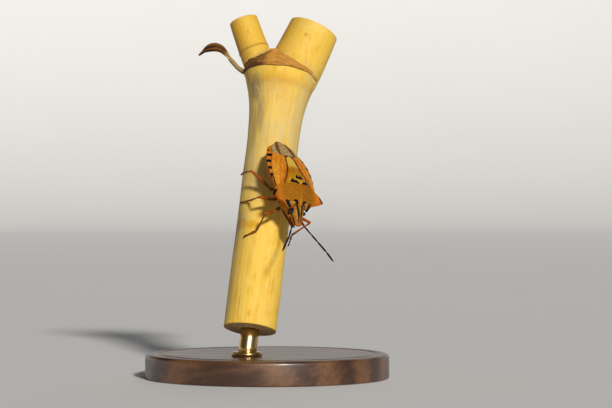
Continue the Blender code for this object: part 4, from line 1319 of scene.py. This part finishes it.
class SHIELDBUG_OT_rostrum(PieceOperator):
    """Beak: four slim segments folded back under the body."""

    bl_idname = "shield_bug.rostrum"
    bl_label = "Beak"

    def make(self, _):
        # Rings square to a smooth path under the body, drawn in at the joints.
        behind = np.linspace(0.34, 6.0, 120)
        stations = [0.34, 0.9, 1.6, 2.6, 3.8, 5.0, 6.0]
        height = smooth(behind, stations, [1.2, 0.82, 0.62, 0.3, 0.12, 0.08, 0.06])
        stations = [0.34, 0.6, 1.4, 2.6, 4.2, 5.6, 6.0]
        radii = smooth(behind, stations, [0.12, 0.2, 0.19, 0.17, 0.15, 0.11, 0.03])
        joint = nearest(behind, (1.55, 3.05, 4.6))
        radii = radii * (1 - 0.22 * bell(joint, 0.06))
        rings = round_path(insect_point(behind, 0.0, height), radii, 24, 0.85)
        ink = 0.05 * np.cos(circle(24)[None] * 2) + 0.25 * ease((behind[:, None] - 4.6) / 0.8)
        pit = 0.4 * bell(joint, 0.05)[:, None]
        floats = {"tone": 0.6, "red": 0.6, "pale": 0.0, "pit": pit, "ink": ink - 0.06}
        piece("rostrum", skin(rings, floats), "limb_cuticle", "dark_cuticle")


# ---------------------------------------------------------------- insect: legs and antennae

# Hip as (behind, side) and knee as (behind, side, height). Ankle and claw stand on the stem:
# (degrees, height, clearance over the bark).
LEGS = {
    "fore_right": ((3.5, -0.78), (2.79, -2.85, -0.52), (-9.3, 19.14, 0.45), (-36.8, 18.38)),
    "fore_left": ((3.4, 0.78), (2.15, 4.15, 0.45), (68.0, 19.7, 0.75), (88.0, 18.6)),
    "mid_right": ((4.95, -0.78), (5.14, -3.36, -0.24), (-30.8, 23.15, 0.45), (-63.1, 23.23)),
    "mid_left": ((4.95, 0.78), (5.9, 3.8, 0.75), (88.0, 24.25, 0.47), (110.0, 24.8)),
    "hind_right": ((6.3, -0.8), (8.97, -3.57, -0.06), (-55.1, 27.21, 0.45), (-86.2, 27.43)),
    "hind_left": ((6.3, 0.8), (8.5, 3.8, 0.6), (98.0, 29.4, 0.45), (122.0, 29.8)),
}

# Joints from the head to the tip, as (behind, side, height).
ANTENNAE = {
    "right": (
        ((1.5, -0.85, 1.72), (0.3, -0.98, 1.95), (-0.83, -1.71, 2.1))
        + ((-1.94, -2.42, 2.11), (-3.27, -3.55, 2.24), (-4.54, -4.52, 2.19))
    ),
    "left": (
        ((1.5, 0.85, 1.72), (0.15, 1.05, 1.95), (-0.83, 1.98, 1.88))
        + ((-1.73, 2.94, 1.75), (-2.98, 4.16, 1.63), (-4.06, 5.27, 1.34))
    ),
}

# Profiles of limbs: (share of the length, radius in mm).
COXA = [(0, 0.24), (0.3, 0.24), (0.65, 0.215), (0.85, 0.195), (1, 0.17)]
TIBIA = [(0, 0.1), (0.06, 0.13), (0.14, 0.105), (0.6, 0.115), (0.9, 0.13), (1, 0.11)]
TARSUS = [(0, 0.08), (0.1, 0.095), (0.44, 0.11), (0.5, 0.062), (0.56, 0.09)]
TARSUS += [(0.68, 0.095), (0.73, 0.058), (0.8, 0.085), (0.94, 0.1), (1, 0.075)]
FEELER = (
    [(0, 0.1), (0.15, 0.135), (0.6, 0.15), (0.9, 0.125), (1, 0.1)],
    [(0, 0.065), (0.1, 0.085), (0.7, 0.095), (1, 0.08)],
    [(0, 0.065), (0.1, 0.085), (0.8, 0.1), (1, 0.08)],
    [(0, 0.065), (0.1, 0.095), (0.5, 0.115), (0.88, 0.105), (1, 0.075)],
    [(0, 0.065), (0.1, 0.1), (0.45, 0.118), (0.8, 0.098), (1, 0.045)],
)


def limb_floats(ink, tone=0.5, red=0.0, pale=0.0, pit=0.0):
    """Values that the cuticle reads, for a limb."""
    return {"tone": tone, "red": red, "pale": pale, "pit": pit, "ink": ink}


class SHIELDBUG_OT_legs(PieceOperator):
    """Legs: coxa, femur with its trochanter, bristly tibia, three-jointed tarsus and claws."""

    bl_idname = "shield_bug.legs"
    bl_label = "Legs"

    def make(self, looks):
        # Each joint is its profile carried from end to end. A cosine gives the tibia four ridges.
        count, hair = looks.bristle_count, looks.bristle_length / MM
        share = np.arange(24)[None] / 24
        for number, (leg, (hip, knee, ankle, claw)) in enumerate(LEGS.items()):
            seed = 100 + 10 * number
            hip, knee = insect_point(*hip, 0.0), insect_point(*knee)
            ankle, tip = on_stem(*ankle), on_stem(*claw, CLAW_GAP)
            towards, shin = unit(knee - hip), unit(ankle - knee)

            root = hip + np.array([0.0, 0.12 * np.sign(hip[1]), 0.62])
            rings, t = limb(root, hip + towards * 0.36, COXA, 40, 32, bow=-0.04)
            distance, shade = dots(rings[..., 0] * 2, rings[..., 1] * 2, 0.3, seed)
            ink = 0.02 - distance / 2 - 0.1 * (shade > 0.6)
            # The coxa is darkened as painted shade under the body: pit darkens it, most towards its
            # root.
            floats = limb_floats(ink, tone=0.8, pit=0.4 + 0.5 * ease((0.5 - t) / 0.5))
            piece(f"coxa_{leg}", skin(rings, floats), "limb_cuticle", "ochre_cuticle")

            thick = 0.235 if leg.startswith("hind") else 0.215
            femur = [(0, 0.19), (0.08, 0.21), (0.13, 0.165), (0.2, 0.18), (0.5, thick)]
            femur += [(0.8, thick * 0.86), (1, 0.15)]
            rings, t = limb(hip + towards * 0.2, knee + towards * 0.03, femur, 64, bow=0.06)
            distance, shade = dots(t * 8 + 3, share * 6 + 0 * t, 0.5, seed + 1)
            ink = (0.085 - distance - 0.2 * (shade > 0.55)) * 0.5
            red, pale = 0.75 * ease((t - 0.45) / 0.5), 0.25 * ease(1 - t / 0.5)
            shape = (rings, limb_floats(ink, 0.55 + 0.45 * t, red, pale), count // 3, hair * 0.6)
            piece(f"femur_{leg}", bristled(*shape, seed + 2), "limb_cuticle", "orange_cuticle")

            rings, t = limb(knee - towards * 0.04, ankle + shin * 0.03, TIBIA, 56)
            ridge = 0.008 * np.cos(4 * circle(24)[None]) * ease(t / 0.15) * ease((1 - t) / 0.1)
            distance, shade = dots(t * 9, share * 4 + 0 * t, 0.45, seed + 3)
            ink = np.maximum(0.05 - distance * 0.6 - 0.2 * (shade > 0.5), 0.16 * (t - 0.9))
            floats = limb_floats(ink, 1.0, 0.85, pit=0.35 + 0.4 * ease((t - 0.3) / 0.6))
            shape = bristled(swollen(rings, ridge), floats, count, hair, seed + 4)
            piece(f"tibia_{leg}", shape, "limb_cuticle", "dark_cuticle")

            rings, t = limb(ankle, tip, TARSUS, 72)
            floats = limb_floats(0.1 * (t - 0.72), 0.9, 0.8, pit=0.55 + 0.4 * t)
            shape = bristled(rings, floats, count, hair * 0.7, seed + 5)
            piece(f"tarsus_{leg}", shape, "limb_cuticle", "dark_cuticle")

            below = on_stem(*claw, CLAW_GAP - 0.1)
            self.claws(f"claws_{leg}", tip, unit(tip - ankle), below - tip)

    def claws(self, name, tip, forward, down):
        """Two hooked claws, each about a quarter turn of an arc that narrows to its point, and two
        soft pads."""
        down = unit(down - forward * (down @ forward))
        aside = np.cross(forward, down)
        t = np.linspace(0, 1, 16)[:, None]
        arc = 0.17 * np.sin(t * np.pi / 2 * 1.1) * forward
        arc = arc + 0.13 * (1 - np.cos(t * np.pi / 2 * 1.15)) * down
        parts = []
        for hand in (-1, 1):
            path = tip - forward * 0.04 + arc + hand * aside * (0.03 + 0.1 * t)
            rings = round_path(path, 0.035 * (1 - t[:, 0]) ** 0.7 + 0.002, 10, upright=down)
            parts.append(skin(rings, limb_floats(0.1, pit=1.0)))
            spot = tip + forward * 0.07 + hand * aside * 0.045 + down * 0.035
            pad = ball(spot, (0.05, 0.04, 0.03), 14, 8)
            parts.append(skin(pad, limb_floats(-0.3, tone=0.2, pit=0.5)))
        piece(name, join(parts), "limb_cuticle", "dark_cuticle")


class SHIELDBUG_OT_antennae(PieceOperator):
    """Antennae: an orange-brown first segment and four black ones, the last two spindle-shaped."""

    bl_idname = "shield_bug.antennae"
    bl_label = "Antennae"

    def make(self, looks):
        # Each joint is its profile carried from end to end.
        for side_name, joints in ANTENNAE.items():
            for k, profile in enumerate(FEELER):
                start, end = insect_point(*joints[k]), insect_point(*joints[k + 1])
                rings, t = limb(start, end, profile, 48, 20)
                if k == 0:
                    floats = limb_floats(-0.03 + 0.05 * np.cos(circle(20))[None], 0.8, 0.5)
                    count, slot = 0, "orange_cuticle"
                else:
                    floats = limb_floats(0.12 - 0.14 * ease(1 - t / 0.1), 0.8, 0.6, pit=0.6)
                    count, slot = looks.bristle_count + 20 * k, "dark_cuticle"
                seed = 300 + 10 * k + (side_name == "left")
                shape = bristled(rings, floats, count, 0.09, seed, radius=0.006)
                piece(f"antenna_{side_name}_{k + 1}", shape, "limb_cuticle", slot)


# ---------------------------------------------------------------- stem

# Each branch: its root, its lean to +x over its height, its diameter, the level, height and
# darkness of the ring at its foot, how much painted shade its left side gets, and how amber all
# of it is.
BRANCHES = {
    "small": (np.array([-2.0, -0.3, 41.4]), -3.9, 3.8, (44.9, 0.07, 0.5), 1.0, 0.4),
    "large": (np.array([1.1, 0.1, 41.8]), 2.5, 6.7, (43.0, 0.0, 0.0), 0.35, 0.1),
}


def stem_radius(height):
    """Radius of the stem, which swells into its node as a bell and draws in above it."""
    distance = np.abs(NODE - height)
    swelling = np.exp(-((distance / 3.3) ** 1.4))
    below = STEM_RADIUS + (NODE_RADIUS - STEM_RADIUS) * swelling
    above = NODE_RADIUS - 0.9 * (1 - np.exp(-((distance / 1.6) ** 2)))
    return np.where(height < NODE, below, above)


def branch_centre(name, t):
    """Centre line of a branch: straight up, leaning by 0.35 t + 0.65 t^0.8 of its lean."""
    root, lean = BRANCHES[name][:2]
    lean_share = 0.35 * t + 0.65 * np.abs(t) ** 0.8
    return xyz(root[0] + lean * lean_share, root[1], root[2] + (FORK_TOP - root[2]) * t)


def fork_reach(turn, height, soften=0.35):
    """How far the node and its branches reach from the axis in one direction.

    It is a soft maximum of the node's own radius and, for each branch, the far crossing of the ray
    with the branch's circle."""
    turn, height = np.broadcast_arrays(turn, height)
    dome = np.sqrt(np.clip(1 - (np.maximum(height - 42.9, 0) / 2.1) ** 2, 0.01, 1))
    reach = [stem_radius(height) * dome]
    for name, (root, _, diameter, *_) in BRANCHES.items():
        t = np.clip((height - root[2]) / (FORK_TOP - root[2]), 0, 1)
        x, y, _ = np.moveaxis(branch_centre(name, t), -1, 0)
        radius = diameter / 2 * (1.1 - 0.1 * t) * ease((height - root[2] + 1.3) / 1.3)
        towards = x * np.sin(turn) - y * np.cos(turn)
        spare = radius**2 - (x**2 + y**2 - towards**2)
        root_part = (spare + np.sqrt(spare**2 + 0.5)) / 2
        reach.append(np.where(spare > -3, towards + np.sqrt(root_part), 0.0))
    stack = np.stack(reach) / soften
    peak = stack.max(axis=0)
    return soften * (peak + np.log(np.exp(stack - peak).sum(axis=0))) - soften * 0.3


def ridges(turn, height, seed):
    """Long ridges round a stem: sines of many counts round it, which drift a little with height."""
    rng = np.random.default_rng(seed)
    total = 0.0
    for count in (23, 37, 52, 71, 88):
        phase = rng.uniform(0, 2 * np.pi)
        wander = rng.uniform(0.1, 0.35) * drift(height * 0 + count, height, 5.0, seed + count)
        total = total + np.sin(count * (turn + 0.02 * wander) + phase) * rng.uniform(0.5, 1.0)
    return total / 3


def spots(turn, height, marks):
    """Soft oval spots: (degrees, height, half-width in degrees, half-height, strength)."""
    total = 0.0
    for degrees, level, wide, tall, power in marks:
        away = np.hypot((np.degrees(turn) - degrees) / wide, (height - level) / tall)
        total = np.maximum(total, power * ease(1.4 - away))
    return total


class SHIELDBUG_OT_stem(PieceOperator):
    """Stem: a fibrous dry stalk that swells into a node and forks, cut level at its ends."""

    bl_idname = "shield_bug.stem"
    bl_label = "Stem"
    reads = "shield_bug_stem"

    def make(self, stem):
        self.trunk(stem.fibre_height / MM)
        for number, (name, shape) in enumerate(BRANCHES.items()):
            self.branch(name, *shape[2:], stem.fibre_height / MM, 21 + number)

    def trunk(self, fibre):
        """Rings as wide as the fork reaches, plus ridges, a drift and the lip of the scar. Rings
        that shrink by the square roots of even shares close each end."""
        around, cut_rows = 320, 22
        turn = -np.pi + circle(around)[None]
        degrees = np.degrees(turn)
        levels = np.concatenate([np.linspace(STEM_CUT, 36.0, 130), np.linspace(36.2, 44.9, 90)])
        levels = levels[:, None]
        radius = fork_reach(turn, levels)
        radius = radius + fibre * ridges(turn, levels, 5) * (1 - 0.4 * ease((levels - 38) / 3))
        radius = radius + 0.03 * drift(3 * np.cos(turn), levels * 0.4 + 3 * np.sin(turn), 1.6, 7)
        ring_level = 41.45 + 0.05 * np.sin(3 * turn) - 0.55 * bell(degrees - 66, 16)
        bare = ease((np.abs(degrees) - 84) / 10)
        lip = 0.12 * bare + 0.07 * ease((degrees - 34) / 14) * (1 - bare)
        radius = radius + lip * bell(levels - ring_level, 0.16)
        radius = radius * (1 - 0.18 * ease((levels - 44.2) / 0.7))
        sides = xyz(radius * np.sin(turn), -radius * np.cos(turn), levels)

        shares = np.sqrt(np.linspace(0.02, 0.995, cut_rows))[:, None, None]
        bottom, top = sides[0][None] * shares, sides[-1][None] * shares[::-1]
        grain = 0.04 * drift(bottom[..., 0], bottom[..., 1], 0.5, 8)
        bottom[..., 2] = STEM_CUT + grain * (shares[..., 0] < 0.9)
        top[..., 2] = levels[-1] + 0.05 * (1 - shares[::-1, :, 0] ** 2)

        # The grey on the stem's left side, away from the key light, is weathering and painted
        # shade: its colour is darkened to stand for that side's shade.
        left = ease((-degrees - 18) / 60) * ease((levels - 6) / 4)
        weathering_and_shade = 0.95 * left * (0.55 + 0.45 * drift(turn * 2, levels, 3.0, 9))
        scurf = [(-48, 39.0, 16, 2.2, 0.8), (-36, 35.5, 12, 3.0, 0.6), (-50, 33.0, 10, 3.5, 0.6)]
        grey = np.maximum(weathering_and_shade, spots(turn, levels, scurf)) + 0.25 * bell(levels - 39.7, 0.35)
        marks = [
            (-42, 10.8, 2.0, 1.1, 0.8), (-31, 9.0, 1.6, 1.8, 0.7), (32, 12.0, 2.2, 1.0, 0.55),
            (34, 9.2, 1.8, 1.2, 0.5), (-6, 8.2, 4.0, 0.5, 0.8), (-20, 37.2, 2.0, 2.2, 0.5),
            (28, 37.0, 2.0, 2.4, 0.45), (2, 33.0, 1.6, 3.0, 0.35), (56, 30.0, 2.2, 2.4, 0.4),
            (140, 20.0, 5.0, 1.2, 0.6), (-130, 28.0, 4.0, 2.0, 0.6), (170, 34.0, 3.0, 3.0, 0.5),
        ]
        collar = bell(levels - 40.1, 0.5) * 0.45 * (0.5 + 0.5 * drift(turn * 6, levels, 0.7, 10))
        # Soft amber patches on the bark.
        amber_patches = [
            (-56, 20.3, 24, 0.75, 1.3), (-26, 20.1, 18, 0.6, 1.2), (-20, 15.0, 6, 2.0, 0.6),
            (16, 13.0, 7, 2.6, 0.5), (-10, 39.6, 34, 1.3, 0.75), (14, 36.6, 9, 2.6, 0.5),
        ]
        edge = 0.8 + 0.3 * drift(turn * 9, levels * 2.5, 0.5, 14)
        bleached = ease((levels - 21.0) / 6.0) * ease((40.5 - levels) / 2.5)
        cream = bleached * (0.42 + 0.3 * drift(turn * 3, levels * 0.3, 1.1, 16))
        cream = cream + 0.4 * ease((degrees - 26) / 30) * ease((levels - 24) / 6)
        scar = 0.75 * bare * bell(levels - ring_level + 0.12, 0.1)
        # Painted shade under the scale on the node's left side: irregular dark patches, carried by
        # the scar value.
        painted_shade_by_node = [(-70, 40.6, 12, 1.0, 0.5), (-62, 38.6, 9, 1.6, 0.38), (-52, 39.8, 5, 0.5, 0.45)]
        painted_shade_by_node = spots(turn, levels, painted_shade_by_node) * (0.6 + 0.4 * drift(turn * 8, levels, 0.9, 15))
        floats = {
            "grey": np.clip(grey, 0, 1),
            "spot": np.maximum(spots(turn, levels, marks), collar),
            "scar": np.maximum(scar, painted_shade_by_node),
            "amber": np.clip(spots(turn, levels, amber_patches) * edge, 0, 1),
            "cream": np.clip(cream, 0, 1),
        }
        cut = np.zeros((cut_rows, around))
        floats = {title: np.concatenate([cut, values, cut]) for title, values in floats.items()}
        floats["pith"] = np.zeros((len(levels) + 2 * cut_rows, around))
        floats["pith"][:20] = 1.0
        rings = np.concatenate([bottom, sides, top])
        piece("perch_stem", skin(rings, floats), "dry_stem", "dry_stem", STEM)

    def branch(self, name, diameter, foot, shade, amber, fibre, seed):
        """Rings square to the branch's centre line, with ridges, closed by a level cut."""
        around, rows, cut_rows = 220, 80, 16
        foot_level, foot_height, foot_scar = foot
        turn = circle(around)[None]
        t = np.linspace(0.0, 1.0, rows)
        path = branch_centre(name, t)
        radii = diameter / 2 * (1.1 - 0.1 * t)
        level = path[:, 2:]
        base = bell(level - foot_level, 0.12)
        relief = fibre * ridges(turn, level, seed) * 0.9 + foot_height * base
        rings = swollen(round_path(path, radii, around, upright=(0.0, -1.0, 0.0)), relief)
        shares = np.sqrt(np.linspace(0.02, 0.995, cut_rows))[::-1, None, None]
        cut = path[-1] + (rings[-1] - path[-1])[None] * shares
        grain = drift(cut[..., 0], cut[..., 1], 0.4, 23)[..., None] * (shares < 0.9)
        cut = cut + np.array([0, 0, 0.03]) * grain
        far = ease((-np.cos(turn)) * 0.5 + 0.2)
        aside = (path[:, :1] - rings[..., 0]) / radii[:, None]
        # Painted shade on the branch's left side, away from the key light, laid below as grey and
        # amber.
        painted_shade_left = ease((aside - 0.05) / 0.7) * shade
        weathering_and_shade = 0.6 + 0.4 * drift(turn * 2, level, 2.0, 24)
        marks = [(150, 46.0, 12, 0.5, 0.5), (95, 46.8, 5, 0.25, 0.9)]
        floats = {
            "grey": np.maximum(0.3 * far, 0.5 * painted_shade_left) * weathering_and_shade,
            "spot": spots(turn, level, marks),
            "scar": foot_scar * base,
            "amber": amber + 0.5 * painted_shade_left,
        }
        flat, full = np.zeros((cut_rows, around)), (rows, around)
        floats = {k: np.concatenate([np.broadcast_to(v, full), flat]) for k, v in floats.items()}
        floats["pith"] = np.zeros((rows + cut_rows, around))
        floats["pith"][rows + 2 :] = 1.0
        shape = skin(np.concatenate([rings, cut]), floats)
        piece(f"perch_branch_{name}", shape, "dry_stem", "dry_stem", STEM)


class SHIELDBUG_OT_scale(PieceOperator):
    """Dry scale that clasps the front of the node, and the curled bract on its stalk."""

    bl_idname = "shield_bug.scale"
    bl_label = "Scale and Bract"

    def make(self, _):
        self.scale()
        self.bract()
        self.stalk()

    def scale(self):
        """Sheet round the front of the node. It rises from its foot by a share of a smooth curve,
        lies over the fork and curls out by the square of its upper quarter."""
        q, p = grid(50, 220)
        degrees = -80 + 158 * p
        turn = np.radians(degrees) + 0 * q
        stations = [-80, -58, -36, -16, 4, 30, 50, 78]
        rise = smooth(degrees, stations, [1.0, 1.5, 1.9, 2.6, 1.75, 0.85, 0.42, 0.26])
        rise = rise * (1 + 0.05 * drift(degrees * 0.2, 0 * degrees, 0.6, 81) * (q > 0.5))
        foot = NODE + 0.05 + 0.04 * np.sin(np.radians(degrees) * 9)
        height = foot - 0.25 * ease((np.abs(degrees + 10) - 40) / 40) + rise * q
        curl = 0.1 * (q - 0.75).clip(0) ** 2 * 8
        reach = np.maximum(fork_reach(turn, height), NODE_RADIUS - 0.35 * rise * q)
        reach = reach + 0.17 + 0.04 * drift(degrees * 0.35, height, 0.8, 82) + curl
        points = xyz(reach * np.sin(turn), -reach * np.cos(turn), height)
        pleat = 0.03 * np.sin(q * 21 + 3 * drift(degrees * 0.08, q * 3, 0.7, 83)) * ease(q / 0.1)
        dark = 0.75 * ease((-degrees - 14) / 30) + 0.25 * ease(1 - q / 0.25)
        dark = dark + 0.2 * drift(degrees * 0.1, q * 5, 0.8, 84)
        floats = {"dark": np.clip(dark, 0, 1), "straw": 0.75 * ease((degrees - 42) / 24)}
        along = xyz(q * 3.2, 0.4, degrees * 0.085)
        finish = ("dry_scale", "dry_scale", STEM)
        plate("perch_scale", points, 0.13, 0.06, pleat, floats, *finish, own=along)

    def bract(self):
        """Leaf along a bent midrib, its sides lifted by the square of the share across it and
        ruffled by a sine."""
        p, q = grid(110, 44)
        stations = [0.0, 0.3, 0.6, 0.85, 1.0]
        out = smooth(p, stations, [7.1, 8.4, 9.7, 10.7, 11.25])
        height = smooth(p, stations, [43.4, 44.25, 44.28, 43.88, 43.4])
        half = smooth(p, [0.0, 0.25, 0.6, 0.9, 1.0], [0.34, 0.9, 0.95, 0.6, 0.2])
        share = 2 * q - 1
        ruffle = 0.08 * np.sin(9 * p + 2 * share) * share**2
        ruffle = ruffle + 0.03 * drift(p * 8, share * 2, 0.8, 85)
        curl = 0.75 * half * share**2 + ruffle
        width = half * share * (1 - 0.28 * share**2)
        points = xyz(-out + 0.06 * share, width, height + curl + 0.62 * half * share)
        nerves = 0.03 * bell(share, 0.08) + 0.012 * np.cos(share * 20) + 0 * p
        dark = 0.5 + 0.4 * ease((p - 0.35) / 0.4) + 0.3 * drift(p * 6, share * 3, 0.8, 86)
        dark = dark - 0.9 * ease((np.abs(share) - 0.72) / 0.2)
        floats = {"dark": np.clip(dark, 0, 1), "straw": 0.8 * ease(1 - p / 0.2)}
        finish = ("dry_bract", "dry_scale", STEM)
        plate("perch_bract", points, 0.12, 0.05, nerves, floats, *finish)

    def stalk(self):
        """Tapered stalk along a bent path, with five ridges."""
        t = np.linspace(0, 1, 50)
        out = smooth(t, [0, 0.25, 0.6, 1.0], [NODE_RADIUS, 5.7, 6.5, 7.6])
        path = xyz(-out, 0.0, smooth(t, [0, 0.25, 0.6, 1.0], [41.8, 42.2, 42.9, 43.95]))
        radii = smooth(t, [0, 0.3, 0.8, 1.0], [0.44, 0.37, 0.33, 0.16])
        rings = round_path(path, radii, 28, 0.8)
        rings = swollen(rings, 0.02 * np.cos(5 * circle(28)) + 0 * rings[..., 0])
        straw = (0.3 - 0.2 * ease(1 - t / 0.2) - 0.2 * ease((t - 0.8) / 0.2))[:, None]
        shape = skin(rings, {"dark": 0.4, "straw": straw})
        piece("perch_bract_stalk", shape, "dry_bract", "dry_scale", STEM)


# ---------------------------------------------------------------- stand


class SHIELDBUG_OT_stand(PieceOperator):
    """Stand: a turned walnut disc, and a brass rod with a small collar that holds the stem."""

    bl_idname = "shield_bug.stand"
    bl_label = "Stand"
    reads = "shield_bug_stand"

    def make(self, stand):
        # The disc and the collar are profiles turned round the z axis.
        low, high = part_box("stand_base")
        radius, thick = (high.x - low.x) / 2 / MM, (high.z - low.z) / MM
        edge, foot_edge = stand.edge / MM, 0.25
        groove = ((1.5, 0.0), (1.65, 0.1), (1.85, 0.1), (2.0, 0.0))
        profile = [(radius * share, 0.0) for share in (0.02, 0.4, 0.8)]
        profile += quarter((radius - foot_edge, foot_edge), foot_edge, -90, 0)
        profile += quarter((radius - edge, thick - edge), edge, 0, 90)
        profile += [(radius - inset, thick - depth) for inset, depth in groove]
        profile += [(radius * share, thick) for share in (0.8, 0.6, 0.4, 0.2, 0.02)]
        piece("stand_base", skin(lathe(profile), {}), "walnut", "walnut", STAND)

        # The rod runs along the stem's axis, and its foot is cut level with the base.
        turn = circle(64)
        up = from_row(STEM[1] + (0.0, 0.0, 1.0), STEM)
        ring = xyz(ROD_RADIUS * np.cos(turn), ROD_RADIUS * np.sin(turn), 0.0)
        foot = thick / up[2] - (ring @ up) / up[2] + 0.02
        levels = np.array([0.0, 0.33, 0.66, 1.0])[:, None]
        rows = xyz(ring[:, 0], ring[:, 1], foot + (STEM_CUT - 0.01 - foot) * levels)
        piece("stand_rod", skin(rows, {}), "brass", "brass", STEM)

        sunk, collar_top, inside = thick - 0.02, thick + 0.55, 0.4
        collar = [(inside, sunk), (1.9, sunk), *quarter((1.75, thick + 0.3), 0.25, 0, 90)]
        collar += [(1.3, collar_top), (inside, collar_top)]
        axis = STEM[0][:, 2]
        centre = STEM[1][:2] + (axis[:2] / axis[2]) * (thick + 0.2)
        rings = lathe(collar, 80) + np.array([*centre, 0.0])
        piece("stand_collar", skin(rings, {}), "brass", "brass", STAND)


# ---------------------------------------------------------------- stage


def placed(name, data):
    """New object of the scene from its data."""
    item = bpy.data.objects.new(name, data)
    bpy.context.scene.collection.objects.link(item)
    return item


def sun_light(name, heading, height, power, spread, colour):
    """Sun lamp that shines from a heading and a height in degrees. Heading 0 is the front and 90
    the model's right-hand side as seen from the front; spread is the lamp's width in degrees."""
    light = bpy.data.lights.new(name, "SUN")
    light.energy, light.angle, light.color = power, np.radians(spread), colour
    placed(name, light).rotation_euler = np.radians((90.0 - height, 0.0, heading))


class SHIELDBUG_OT_stage(PieceOperator):
    """Pale floor that curves up all round, soft studio lights and the camera."""

    bl_idname = "shield_bug.stage"
    bl_label = "Stage"
    reads = "shield_bug_stage"

    def make(self, stage):
        f = Finish("pale_floor", stage.floor, Roughness=0.85)
        place = f.node("TexCoord", {})["Object"]
        grain = f.ramp(f.noise(place, 6.0, 4.0), 0.3, 0.7, 0.985, 1.0)
        f.put(Base_Color=f.mix(1.0, stage.floor, grain, "MULTIPLY"))
        f.bump(f.noise(place, 900.0, 2.0), 0.02, 0.3)

        # The floor's profile is in metres: level out to one radius, then curved up by another.
        level, bend = 1.6, 0.9
        profile = [(radius, 0.0) for radius in (0.001, 0.1, 0.4, 1.0, level)]
        rings = lathe(profile + quarter((level, bend), bend, -90, -20, 24), 96)
        index = numbered(*rings.shape[:2])
        mesh = bpy.data.meshes.new("floor")
        quads = cross_quads(index).tolist() + [index[0, -2::-1].tolist()]
        mesh.from_pydata(rings.reshape(-1, 3).tolist(), [], quads)
        mesh.shade_smooth()
        mesh.materials.append(f.material)
        floor = placed("floor", mesh)

        sun_light("key", 17.0, 23.0, stage.key_power, 6.0, (1.0, 0.965, 0.9))
        sun_light("back", 160.0, 38.0, stage.fill_power, 40.0, (0.97, 0.98, 1.0))
        world = bpy.data.worlds.new("studio")
        world.use_nodes = True
        background = world.node_tree.nodes["Background"].inputs
        background["Color"].default_value = (0.93, 0.96, 1.0, 1.0)
        background["Strength"].default_value = stage.ambient
        scene = bpy.context.scene
        scene.world = world
        scene.view_settings.view_transform = "Standard"

        camera = bpy.data.cameras.new("camera")
        camera.sensor_width, camera.lens = 36.0, stage.lens
        camera.clip_start, camera.clip_end = 0.01, 10.0
        scene.camera = placed("camera", camera)
        scene.camera.location = CAMERA
        scene.camera.rotation_euler = (np.pi / 2, 0.0, 0.0)


class SHIELDBUG_OT_finishes(PieceOperator):
    """Finishes: the shared node groups and every material of the part."""

    bl_idname = "shield_bug.finishes"
    bl_label = "Finishes"

    def make(self, looks):
        scene = bpy.context.scene
        stem, stand = scene.shield_bug_stem, scene.shield_bug_stand
        marking_effect()
        grain_effect()
        fibre_effect()
        cuticle("ochre_cuticle", looks.ochre, looks.orange, looks)
        cuticle("orange_cuticle", looks.orange, looks.orange, looks)
        cuticle("olive_cuticle", looks.olive, looks.ochre, looks)
        cuticle("head_cuticle", looks.head, looks.orange, looks, grain=10.0)
        cuticle("limb_cuticle", looks.amber, looks.rust, looks, roughness=0.4, grain=12.0)
        eye_finish(looks)
        red = (0.2, 0.008, 0.008)
        Finish("ocellus", red, Base_Color=red, Roughness=0.12, Coat_Weight=0.8)
        membrane_finish(looks)
        straw_finish(stem)
        dry_finish("dry_scale", stem.dry_light, stem.dry_dark, stem)
        dry_finish("dry_bract", (0.2, 0.078, 0.012), (0.032, 0.014, 0.006), stem)
        walnut_finish(stand)
        brass_finish(stand)


# ---------------------------------------------------------------- add-on


OPERATORS = (
    SHIELDBUG_OT_finishes,
    SHIELDBUG_OT_pronotum,
    SHIELDBUG_OT_scutellum,
    SHIELDBUG_OT_wings,
    SHIELDBUG_OT_rim,
    SHIELDBUG_OT_trunk,
    SHIELDBUG_OT_head,
    SHIELDBUG_OT_rostrum,
    SHIELDBUG_OT_legs,
    SHIELDBUG_OT_antennae,
    SHIELDBUG_OT_stem,
    SHIELDBUG_OT_scale,
    SHIELDBUG_OT_stand,
    SHIELDBUG_OT_stage,
)
SETTINGS = {
    "shield_bug_insect": InsectSettings,
    "shield_bug_stem": StemSettings,
    "shield_bug_stand": StandSettings,
    "shield_bug_stage": StageSettings,
}


class SHIELDBUG_PT_panel(bpy.types.Panel):
    """Sidebar panel with one button for each group of pieces, and the settings they read."""

    bl_idname = "SHIELDBUG_PT_panel"
    bl_label = "Shield Bug"
    bl_space_type = "VIEW_3D"
    bl_region_type = "UI"
    bl_category = "Shield Bug"

    def draw(self, context):
        for operator in OPERATORS:
            self.layout.operator(operator.bl_idname)
        for title, group_class in SETTINGS.items():
            box = self.layout.box()
            for name in group_class.__annotations__:
                box.prop(getattr(context.scene, title), name)


def register():
    for item in (*SETTINGS.values(), *OPERATORS, SHIELDBUG_PT_panel):
        bpy.utils.register_class(item)
    for title, group_class in SETTINGS.items():
        setattr(bpy.types.Scene, title, PointerProperty(type=group_class))


def unregister():
    for title in SETTINGS:
        delattr(bpy.types.Scene, title)
    for item in reversed((*SETTINGS.values(), *OPERATORS, SHIELDBUG_PT_panel)):
        bpy.utils.unregister_class(item)


def main():
    register()
    for operator in OPERATORS:
        family, name = operator.bl_idname.split(".")
        getattr(getattr(bpy.ops, family), name)()


if __name__ == "__main__":
    main()
